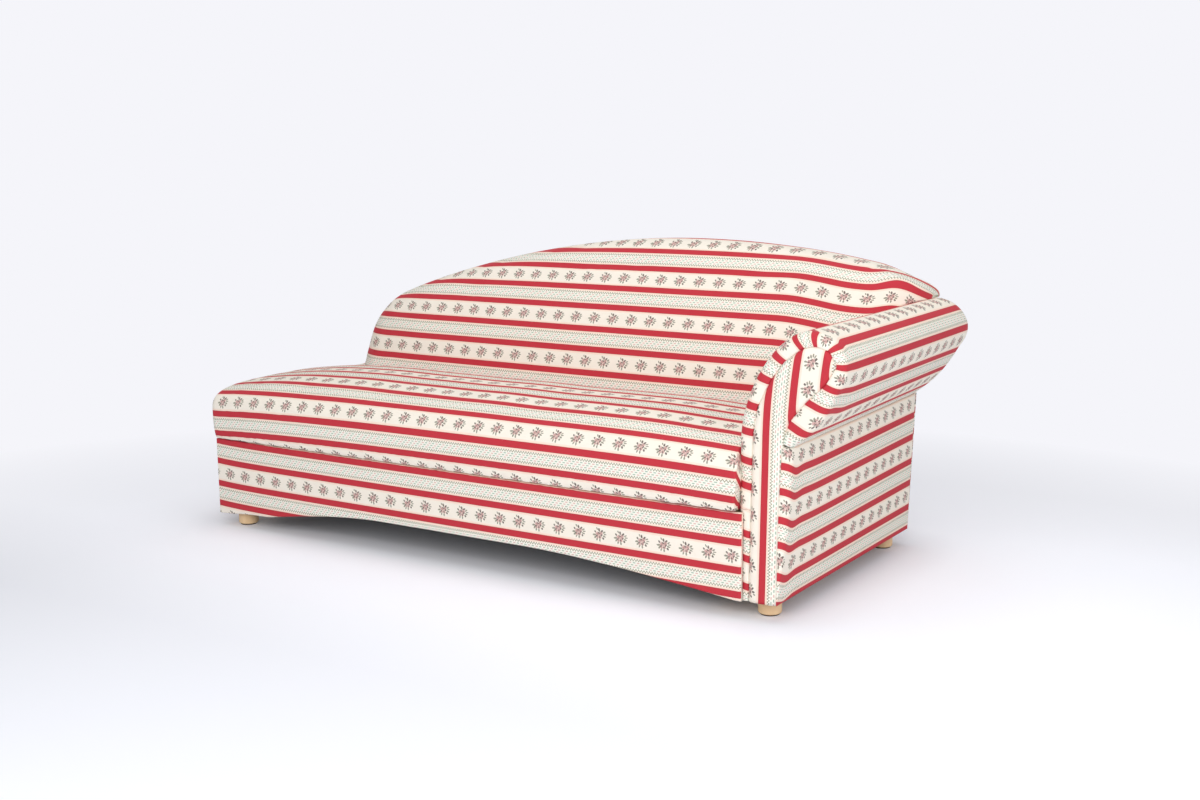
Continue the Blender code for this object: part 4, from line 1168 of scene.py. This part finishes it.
def facing_sections(fit):
    """The arm's front panel from its foot to its top: stuffed out, and drawn in along its seam."""
    top = facing_sides(0.0)[2]
    upper = top - (top - FACING_BEND) * np.linspace(1.0, 0.0, 50)[1:] ** 2
    heights = np.concatenate((np.linspace(BASE_BOTTOM, FACING_BEND, 60), upper))
    left, right, _ = facing_sides(heights)
    shares = (1.0 - np.cos(np.linspace(0.0, math.pi, 29))) / 2
    behind = ARM_FRONT + FACING_DEPTH
    for z, x0, x1 in zip(heights, left, right):
        x = x0 + (x1 - x0) * shares
        from_edge = np.minimum(np.minimum(x - x0, x1 - x), top - z)
        stuffed = (fit.seam_depth + fit.facing_crown) * (1.0 - np.exp(-from_edge / FACING_EDGE_RUN))
        face = stacked(x, ARM_FRONT + fit.seam_depth - stuffed, z)
        ring = np.vstack((face, [(x1, behind, z), (x0, behind, z)]))
        stretch = 1.0 + FACING_STRETCH * eased(z, *FACING_STRETCH_RANGE)
        yield ring, stacked(z + FACING_SPRIG_SHIFT, (ring[:, 0] - facing_red(z)) / stretch)


class SETTEE_OT_arm(bpy.types.Operator):
    """Upholster the arm: the pad over its roll, the front panel and the outer side"""

    bl_idname = "settee.arm"
    bl_label = "Arm"

    def execute(self, context):
        fit = context.scene.settee_upholstery
        material = cloth_material(context)
        for name, panels, node, fill in (
            ("arm_roll", arm_pad_panels(fit), "arm_pad", 0.9),
            ("arm_front_panel", gathered(facing_sections(fit)), "arm_facing", 0.9),
            ("arm_outer_side", outer_side_panels(fit), "arm_outer_panel", 1.0),
        ):
            upholster(sewn(name, capped(*panels), material), node, fill=fill)
        return {"FINISHED"}


# Back

BACK_LEAN = math.radians(24.0)
BACK_CREASE = 0.466
BACK_APEX = -0.62
BACK_LEFT_ARCH = 2.72
BACK_RIGHT_ARCH = 3.1
BACK_SHOULDER_RUN = 0.155
BACK_LEFT_POWER = 3.0
BACK_RIGHT_POWER = 2.2
BACK_REAR_POWER = 2.2
BACK_FRONT_ROWS = 40
BACK_PUCKER_SPREAD = 1.6
BACK_PUCKER_SHIFT = 3.1
BACK_WAVE = (0.52, 0.8)
BACK_WAVE_RANGE = (0.02, 0.2)
BACK_LEFT_ROUND = 0.12
BACK_RIGHT_ROUND = 0.20
BACK_REAR_ROUND = 0.06
BACK_DIP = 0.028
BACK_DIP_RANGE = (-0.28, -0.025)
BACK_HUMP = 0.006
BACK_HUMP_RANGE = (-0.04, 0.01)
BACK_FOLLOW = 0.65
BACK_FOLLOW_RANGE = (0.0, 0.066)
BACK_SPRIG_SHIFT = -0.0285
BACK_CROWN_DRAW = 0.35
BACK_DRAW_RANGE = (-0.06, 0.02)
BACK_CROWN_RUN = (0.0, 0.08, 0.18, 1.0)
BACK_CROWN_CLOTH = (0.0, 0.08, 0.134, 0.954)
BACK_TOP_ROUND = 0.115
BACK_FULL_ROUND = 0.22
BACK_END_HEIGHT = 0.012
BACK_TUCK = 0.018
BACK_WRAP = 0.085
BACK_STEP_MIN = 0.004
BACK_STACK = 0.0386
BACK_RED_HEIGHT = 0.537
BACK_HELD_DEPTH = 0.05
BACK_HELD_RISE = 0.02
LUMBAR_RANGE = (0.41, 0.76)
LUMBAR_LEFT_RUN = 0.3
LUMBAR_RIGHT_START = -0.3
OUTSIDE_PUFF = 0.0022
OUTSIDE_PUFF_RUN = 0.012
OUTSIDE_INSET = 0.006
OUTSIDE_LEFT_GAP = 0.001
OUTSIDE_RIGHT_GAP = 0.002
OUTSIDE_LEAST = 0.001
OUTSIDE_ARM_SIDE = -0.004
OUTSIDE_ROLL_START = -0.003


def arch_height(x):
    """Height of the back's top on its long arc."""
    away = x - BACK_APEX
    radius = BACK_LEFT_ARCH if away < 0.0 else BACK_RIGHT_ARCH
    return BACK_HIGH - radius + math.sqrt(radius**2 - away**2)


def shoulder(height, low, share, power):
    """The arc's height eased down to an end of the back."""
    return low + (height - low) * (1.0 - min(share, 1.0) ** power) ** (1.0 / power)


def back_top(x):
    """Height of the back's top, with its shoulders."""
    left_share = (BACK_LEFT + BACK_SHOULDER_RUN - x) / BACK_SHOULDER_RUN
    if left_share > 0.0:
        return shoulder(arch_height(x), BACK_BOTTOM + BACK_END_HEIGHT, left_share, BACK_LEFT_POWER)
    right_share = (x - ARM_INNER) / (ROLL_REACH - ARM_INNER)
    if right_share > 0.0:
        return shoulder(arch_height(x), ARM_CREST + BACK_END_HEIGHT, right_share, BACK_RIGHT_POWER)
    return arch_height(x)


def end_round(distance, radius):
    """How far a rounded end has drawn in at a distance from its tip."""
    if distance >= radius:
        return 0.0
    return radius - math.sqrt(max(radius**2 - (radius - distance) ** 2, 0.0))


def back_stations():
    """Places along the back with the height of its underside, which rises over the arm."""
    turn = np.linspace(0.0, math.pi / 2, 26)
    left = BACK_LEFT + BACK_SHOULDER_RUN * (1.0 - np.cos(turn))
    level = np.linspace(BACK_LEFT + BACK_SHOULDER_RUN, ARM_INNER - BACK_STEP_MIN, 90)[1:]
    stations = [(x, BACK_BOTTOM) for x in np.concatenate((left, level))]
    start, crest = (ARM_INNER, ARM_SWEEP_START), (ROLL_REACH, ARM_CREST)
    sweep = quarter(start, crest, ARM_SWEEP_POWER, 40, upright_first=True)
    stations += [(x, z + SKIN_GAP) for x, z in sweep]
    return stations


def back_step(x, bottom):
    """Height at which the pad reaches over the frame to the outside back."""
    return max(back_top(x) - BACK_WRAP, bottom + BACK_STEP_MIN)


def back_profile(x, bottom, fit):
    """The back's cross-section in y and z: front, top, rear and the hidden step behind."""
    top = back_top(x)
    size = min((top - bottom) / BACK_FULL_ROUND, 1.0)
    round_front = BACK_TOP_ROUND * size
    tuck = BACK_TUCK * size
    drawn = end_round(x - BACK_LEFT, BACK_LEFT_ROUND) + end_round(ROLL_REACH - x, BACK_RIGHT_ROUND)
    rear_drawn = end_round(ROLL_REACH - x, BACK_REAR_ROUND)
    full = eased(x, BACK_LEFT, BACK_LEFT + LUMBAR_LEFT_RUN)
    full *= 1.0 - eased(x, LUMBAR_RIGHT_START, ROLL_REACH)

    def front_y(z):
        share = np.clip((z - LUMBAR_RANGE[0]) / (LUMBAR_RANGE[1] - LUMBAR_RANGE[0]), 0.0, 1.0)
        proud = fit.lumbar * np.sin(share * math.pi) * full
        return BACK_CREASE + drawn + (z - BACK_BOTTOM) * math.tan(BACK_LEAN) - proud

    start = top - round_front * (1.0 - math.sin(BACK_LEAN))
    heights = np.linspace(bottom + tuck, start, BACK_FRONT_ROWS)
    front = stacked(front_y(heights), heights)
    centre = (front[-1, 0] + round_front * math.cos(BACK_LEAN), top - round_front)
    turn = np.linspace(BACK_LEAN, math.pi / 2, 16)[1:]
    crown = stacked(centre[0] - round_front * np.cos(turn), centre[1] + round_front * np.sin(turn))
    step = back_step(x, bottom)
    rear = quarter(crown[-1], (rear_y(step) - rear_drawn, step), BACK_REAR_POWER, 18, upright_first=False)
    first = [(float(front_y(bottom)) + tuck, bottom)]
    inside = max(BACK_STACK, rear_drawn) + SKIN_GAP
    hidden = [(rear_y(step, inside), step), (rear_y(bottom, inside), bottom)]
    return np.vstack((first, front, crown, rear, hidden))


def back_sections(fit):
    """The pad of the back: stripes lie at even heights, and follow the top near the arm."""
    middle = back_profile(BACK_APEX, BACK_BOTTOM, fit)
    front = BACK_FRONT_ROWS + 1
    level, level_run = middle[:front, 1], run_of(middle)[:front]
    red_start = np.interp(BACK_RED_HEIGHT, level, level_run)
    u = BACK_LEFT + BACK_SPRIG_SHIFT
    last = None
    top_place = None
    for x, bottom in back_stations():
        profile = back_profile(x, bottom, fit)
        depth, height = profile.T
        run = run_of(profile)
        across = np.interp(height, level, level_run)
        climb = (run[front:] - run[front - 1]) * (1.0 - BACK_CROWN_DRAW * eased(x, *BACK_DRAW_RANGE))
        across[front:] = across[front - 1] + np.interp(climb, BACK_CROWN_RUN, BACK_CROWN_CLOTH)
        dip = BACK_DIP * eased(x, *BACK_DIP_RANGE) - BACK_HUMP * eased(x, *BACK_HUMP_RANGE)
        across += dip - red_start
        crown = height.argmax()
        if x < BACK_FOLLOW_RANGE[0]:
            top_place = across[crown]
        across += (top_place - across[crown]) * BACK_FOLLOW * eased(x, *BACK_FOLLOW_RANGE)
        left_drawn = end_round(x - BACK_LEFT, BACK_LEFT_ROUND)
        here = np.array((x, left_drawn - end_round(ROLL_REACH - x, BACK_RIGHT_ROUND)))
        u += 0.0 if last is None else float(np.linalg.norm(here - last))
        last = here
        near_seam = np.exp(-(run / PUCKER_REACH) ** 2)
        pitch = fit.pucker_pitch * BACK_PUCKER_SPREAD
        wave = ripple(x, pitch, BACK_PUCKER_SHIFT) * fit.pucker * near_seam
        swell = ripple(x, *BACK_WAVE) * fit.slack * eased(run, *BACK_WAVE_RANGE)
        yield stacked(x, depth - wave - swell, height), stacked(u, across)


def outside_back_sections():
    """Columns across the outside back, from its lower edge to the pad's roll and the end of the arm."""
    line, _ = arm_contour(REAR_BULGE)
    line -= outward_of(line) * (rear_rounding(line) - OUTSIDE_INSET)[:, None]
    stations = back_stations()
    top_x = [x for x, bottom in stations]
    top_z = [back_step(x, bottom) for x, bottom in stations]
    crest = line[:, 1].argmax()
    roll_top = line[crest:][line[crest:, 1] > ROLL_HEIGHT]
    roll_low = line[crest:][line[crest:, 1] <= ROLL_HEIGHT][::-1]
    right = line[:, 0].max() - OUTSIDE_RIGHT_GAP
    level = np.linspace(LEFT_END + OUTSIDE_LEFT_GAP, OUTSIDE_ARM_SIDE, 130)
    for x in np.concatenate((level, np.linspace(OUTSIDE_ARM_SIDE, right, 40)[1:])):
        high = np.interp(x, top_x, top_z, left=BACK_BOTTOM + BACK_STEP_MIN)
        rounded = end_round(max(ROLL_REACH - x, 0.0), BACK_REAR_ROUND) / BACK_REAR_ROUND
        high -= (high - line[crest, 1]) * rounded
        low = BASE_BOTTOM
        if x > ROLL_REACH:
            high = np.interp(x, roll_top[:, 0], roll_top[:, 1])
        if x > OUTSIDE_ROLL_START:
            low = np.interp(x, roll_low[:, 0], roll_low[:, 1])
        high = max(high - SKIN_GAP, low + OUTSIDE_LEAST)
        z = np.linspace(low, high, 40)
        from_edge = np.minimum(np.minimum(z - low, high - z), min(x - LEFT_END, right - x))
        puff = OUTSIDE_PUFF * (1.0 - np.exp(-np.clip(from_edge, 0.0, None) / OUTSIDE_PUFF_RUN))
        outer = stacked(x, rear_y(z) - OUTSIDE_PUFF + puff, z)
        inner = [(x, rear_y(edge, PANEL_THICKNESS), edge) for edge in (high, low)]
        ring = np.vstack((outer, inner))
        yield ring, stacked(-x, ring[:, 2] / math.cos(RAKE) - BASE_RED_HEIGHT)


def back_held(places):
    """The sewn and hidden parts of the back: its lower edge, its ends and what lies behind its top."""
    x, y, z = places.T
    behind = y > rear_y(z, BACK_HELD_DEPTH)
    ends = (x < BACK_LEFT + HELD_MARGIN) | (x > ARM_INNER - HELD_MARGIN)
    return behind | (z < BACK_BOTTOM + BACK_HELD_RISE) | ends


class SETTEE_OT_back(bpy.types.Operator):
    """Upholster the arched back: the pad in front and over the top, and the panel behind"""

    bl_idname = "settee.back"
    bl_label = "Back"

    def execute(self, context):
        fit = context.scene.settee_upholstery
        material = cloth_material(context)
        pad = sewn("back_pad", capped(*gathered(back_sections(fit))), material)
        settle(pad, back_held, fit)
        upholster(pad, "back_cushion", fill=0.95)
        behind = capped(*gathered(outside_back_sections()))
        upholster(sewn("back_outside", behind, material), "outside_back", fill=1.0)
        return {"FINISHED"}


# Feet, frame and dust cloth

FOOT_EDGE = 0.005
FOOT_EDGE_SHARE = 0.45
FOOT_TIP = 0.0002
GLIDE_EDGE = 0.0012
DUST_CLOTH_TACKS = 2
DUST_CLOTH_SAG = 0.004


def turned_foot(name, node, material, edge):
    """A turned foot or glide with rounded edges, on the place of its frame node."""
    low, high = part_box(node)
    middle = (low + high) / 2
    radius = (high.x - low.x) / 2
    height = high.z - low.z
    round_edge = min(edge, height * FOOT_EDGE_SHARE)
    turn = np.linspace(0.0, math.pi / 2, 7)
    early, late = round_edge * (1 - np.sin(turn)), round_edge * (1 - np.cos(turn))
    lower = stacked(radius - early, low.z + late)
    upper = stacked(radius - late, high.z - early)
    profile = np.vstack(([(FOOT_TIP, low.z)], lower, upper, [(FOOT_TIP, high.z)]))
    angle = np.linspace(0.0, 2 * math.pi, 65)
    points = np.array([
        [(middle.x + r * math.cos(a), middle.y + r * math.sin(a), z) for a in angle] for r, z in profile
    ])
    points -= np.array(CORNER)
    obj = sewn(name, [(points, np.zeros((*points.shape[:2], 2)))], material)
    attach(obj, BODY)
    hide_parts(node)
    return obj


class SETTEE_OT_feet(bpy.types.Operator):
    """Turn the four beech feet and their glides"""

    bl_idname = "settee.feet"
    bl_label = "Feet"

    def execute(self, context):
        finish = context.scene.settee_finish
        beech = wood("beech_turned", tuple(finish.beech), tuple(finish.beech_dark), 14.0, 0.38)
        plastic = speckled("glide_moulded", tuple(finish.glide), 0.7, 220.0, 0.5)
        for corner in ("front_left", "front_right", "rear_left", "rear_right"):
            turned_foot(f"turned_{corner}", f"foot_{corner}", beech, FOOT_EDGE)
            turned_foot(f"pad_{corner}", f"glide_{corner}", plastic, GLIDE_EDGE)
        return {"FINISHED"}


def node_finish(node):
    """Which finish a hidden node of the frame takes."""
    if "spring" in node or "bolt" in node:
        return "steel"
    if "webbing" in node or "platform" in node:
        return "webbing"
    return "wood"


class SETTEE_OT_frame(bpy.types.Operator):
    """Finish the hidden frame, springs, straps and bolts, and hang the dust cloth"""

    bl_idname = "settee.frame"
    bl_label = "Frame"

    def execute(self, context):
        finish = context.scene.settee_finish
        finishes = {
            "steel": speckled("spring_steel_drawn", tuple(finish.steel), 0.8, 300.0, 0.35, metallic=1.0),
            "webbing": speckled("webbing_woven", tuple(finish.webbing), 0.6, 700.0, 0.9, bump=0.6),
            "wood": wood("frame_sawn", tuple(finish.frame_wood), tuple(finish.frame_grain), 9.0, 0.6),
        }
        for name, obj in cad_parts.items():
            if obj.hide_render or name == "dust_cover":
                continue
            obj.data.materials.clear()
            obj.data.materials.append(finishes[node_finish(name)])
        hang_dust_cloth(speckled("dust_cloth_bonded", tuple(finish.dust_cloth), 0.6, 900.0, 0.95, bump=0.5))
        return {"FINISHED"}


def hang_dust_cloth(material):
    """A thin cloth tacked under the base that sags between the stretchers."""
    low, high = (Vector(corner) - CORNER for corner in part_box("dust_cover"))
    bay = (high.x - low.x) / (DUST_CLOTH_TACKS + 1)
    rings = []
    y = np.linspace(low.y, high.y, 40)
    for x in np.linspace(low.x, high.x, 90):
        across = np.sin((y - low.y) / (high.y - low.y) * math.pi)
        sag = DUST_CLOTH_SAG * abs(math.sin((x - low.x) / bay * math.pi)) * across
        under, over = (stacked(x, y, level - sag) for level in (low.z, high.z))
        rings.append(np.vstack((under, over[::-1])))
    rings = np.array(rings)
    obj = sewn("dust_cloth", capped(rings, rings[:, :, :2]), material)
    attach(obj, BODY)
    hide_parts("dust_cover")


# Stage

CAMERA_PLACE = (1.4943, -3.0545, 1.14)
CAMERA_PITCH = 0.174484
CAMERA_ROLL = 0.008341
CAMERA_YAW = 0.573670
CAMERA_LENS = 45.0
FLOOR_SIZE = 80.0
FLOOR_CLOUD = 0.985
FLOOR_MIDDLE = (0.5, -1.2)
FLOOR_NEAR = 1.6
FLOOR_FAR = 3.2
# Painted light on the floor: a glow seen only by the camera. It is faint over the settee's footprint and
# rises around it, which shortens the settee's shadow, and it fades again in front of the settee.
FLOOR_LIFT = 0.02
FLOOR_PAINTED_GLOW = 0.18
FLOOR_OPEN_RUN = 0.24
FLOOR_FADE = 0.8
FLOOR_FADE_RUN = 0.6
SHADED_MIDDLE = -0.08
SHADED_HALF = (0.85, 0.33)


def place_camera():
    """The camera at the photograph's place and angle."""
    yaw, pitch = CAMERA_YAW, CAMERA_PITCH
    forward = Vector((-math.sin(yaw) * math.cos(pitch), math.cos(yaw) * math.cos(pitch), -math.sin(pitch)))
    level = Vector((math.cos(yaw), math.sin(yaw), 0.0))
    down = forward.cross(level)
    right = level * math.cos(CAMERA_ROLL) + down * math.sin(CAMERA_ROLL)
    down = down * math.cos(CAMERA_ROLL) - level * math.sin(CAMERA_ROLL)
    data = bpy.data.cameras.new("camera")
    data.lens = CAMERA_LENS
    data.sensor_width = 36.0
    data.clip_end = 200.0
    camera = linked("camera", data)
    turned = Matrix((right, -down, -forward)).transposed()
    camera.matrix_world = Matrix.Translation(Vector(CAMERA_PLACE) + CORNER) @ turned.to_4x4()
    bpy.context.scene.camera = camera


def softbox(name, place, aim, size, power):
    data = bpy.data.lights.new(name, "AREA")
    data.shape = "RECTANGLE"
    data.size, data.size_y = size
    data.energy = power
    lamp = linked(name, data)
    lamp.location = Vector(place)
    lamp.rotation_euler = (Vector(aim) - Vector(place)).to_track_quat("-Z", "Y").to_euler()


def seen_directly(tree):
    """One for rays that show the background itself: from the camera, or in a reflection or glass."""
    path = tree.nodes.new("ShaderNodeLightPath")
    camera = Signal(tree, path.outputs["Is Camera Ray"])
    glossy = Signal(tree, path.outputs["Is Glossy Ray"])
    through = Signal(tree, path.outputs["Is Transmission Ray"])
    return camera.most(glossy).most(through)


def blended(tree, output, share, first, second):
    """Ends a tree with two shaders mixed by a share."""
    mix = tree.nodes.new("ShaderNodeMixShader")
    for socket, target in zip((share.socket, first, second), mix.inputs):
        tree.links.new(socket, target)
    tree.links.new(mix.outputs[0], tree.nodes.new(output).inputs[0])


def light_world(finish):
    """Even light for the settee, and a pale backdrop where the world is seen."""
    world = bpy.data.worlds.new("studio")
    bpy.context.scene.world = world
    world.use_nodes = True
    tree = world.node_tree
    tree.nodes.clear()
    shown = tree.nodes.new("ShaderNodeBackground")
    shown.inputs[0].default_value = rgba(finish.backdrop)
    even = tree.nodes.new("ShaderNodeBackground")
    even.inputs[0].default_value = rgba((1.0, 1.0, 1.0))
    even.inputs[1].default_value = finish.sky
    blended(tree, "ShaderNodeOutputWorld", seen_directly(tree), even.outputs[0], shown.outputs[0])


def floor_material(finish):
    """A pale floor with painted light: a glow seen by the camera only, faint under the settee and stronger
    around it, so the shadow stays dark near the settee but ends short; far away the floor melts into the
    backdrop.
    """
    material, tree = blank_material("studio_floor")
    place = tree.nodes.new("ShaderNodeTexCoord")
    beside, beyond = parts_of(tree, place.outputs["Object"])
    reach = radius_of(beside - FLOOR_MIDDLE[0], beyond - FLOOR_MIDDLE[1])
    far = ((reach - FLOOR_NEAR) / (FLOOR_FAR - FLOOR_NEAR)).math("ADD", 0.0, clamp=True)
    diffuse = tree.nodes.new("ShaderNodeBsdfDiffuse")
    cloudy = noise(tree, place.outputs["Object"], 0.8, detail=2.0)
    tint = dyed(tree, tuple(finish.floor), tuple(level * FLOOR_CLOUD for level in finish.floor), cloudy)
    tree.links.new(tint, diffuse.inputs[0])
    glow = tree.nodes.new("ShaderNodeEmission")
    glow.inputs[0].default_value = rgba(finish.backdrop)
    # Painted light: a camera-only glow in the floor's colour, brighter away from the settee's footprint,
    # which shortens the shadow.
    lift = tree.nodes.new("ShaderNodeEmission")
    lift.inputs[0].default_value = rgba(finish.floor)
    seen = seen_directly(tree)
    past_end = (abs(beside - SHADED_MIDDLE) - SHADED_HALF[0]).most(0.0)
    past_front = (abs(beyond) - SHADED_HALF[1]).most(0.0)
    painted_glow_share = (radius_of(past_end, past_front) / FLOOR_OPEN_RUN).math("ADD", 0.0, clamp=True)
    ahead = (past_front - FLOOR_OPEN_RUN).most(0.0) / FLOOR_FADE_RUN
    fading = ahead.least(1.0) * -FLOOR_FADE + 1.0
    tree.links.new((seen * (painted_glow_share * fading * FLOOR_PAINTED_GLOW + FLOOR_LIFT)).socket, lift.inputs[1])
    lifted = tree.nodes.new("ShaderNodeAddShader")
    tree.links.new(diffuse.outputs[0], lifted.inputs[0])
    tree.links.new(lift.outputs[0], lifted.inputs[1])
    blended(tree, "ShaderNodeOutputMaterial", far * seen, lifted.outputs[0], glow.outputs[0])
    return material


class SETTEE_OT_stage(bpy.types.Operator):
    """Set the pale floor, the soft lamps and the camera"""

    bl_idname = "settee.stage"
    bl_label = "Stage"

    def execute(self, context):
        finish = context.scene.settee_finish
        bpy.ops.mesh.primitive_plane_add(size=FLOOR_SIZE)
        floor = context.object
        floor.name = "studio_floor"
        floor.data.materials.append(floor_material(finish))
        light_world(finish)
        softbox("key", (1.5, -3.9, 2.2), (0.1, 0.0, 0.35), (3.2, 2.2), finish.key_power)
        softbox("top", (0.3, 0.0, 3.4), (0.0, 0.0, 0.0), (4.0, 3.0), finish.top_power)
        softbox("side", (3.8, -1.0, 1.6), (0.6, 0.0, 0.4), (2.4, 2.2), finish.side_power)
        place_camera()
        context.scene.view_settings.view_transform = "Standard"
        return {"FINISHED"}


class SETTEE_PT_pieces(bpy.types.Panel):
    """Lists the settee's pieces"""

    bl_idname = "SETTEE_PT_pieces"
    bl_label = "Settee"
    bl_space_type = "VIEW_3D"
    bl_region_type = "UI"
    bl_category = "Settee"

    def draw(self, context):
        for operator in OPERATORS:
            self.layout.operator(operator.bl_idname, text=operator.bl_label)


PROPERTY_GROUPS = {
    "settee_cloth": SetteeCloth,
    "settee_upholstery": SetteeUpholstery,
    "settee_finish": SetteeFinish,
}
OPERATORS = (
    SETTEE_OT_stage,
    SETTEE_OT_base_covers,
    SETTEE_OT_seat,
    SETTEE_OT_back,
    SETTEE_OT_arm,
    SETTEE_OT_feet,
    SETTEE_OT_frame,
)


def register():
    for name, group in PROPERTY_GROUPS.items():
        bpy.utils.register_class(group)
        setattr(bpy.types.Scene, name, PointerProperty(type=group))
    for cls in (*OPERATORS, SETTEE_PT_pieces):
        bpy.utils.register_class(cls)


def unregister():
    for cls in reversed((*OPERATORS, SETTEE_PT_pieces)):
        bpy.utils.unregister_class(cls)
    for name, group in PROPERTY_GROUPS.items():
        delattr(bpy.types.Scene, name)
        bpy.utils.unregister_class(group)


def main():
    register()
    bpy.ops.settee.stage()
    bpy.ops.settee.base_covers()
    bpy.ops.settee.seat()
    bpy.ops.settee.back()
    bpy.ops.settee.arm()
    bpy.ops.settee.feet()
    bpy.ops.settee.frame()


if __name__ == "__main__":
    main()
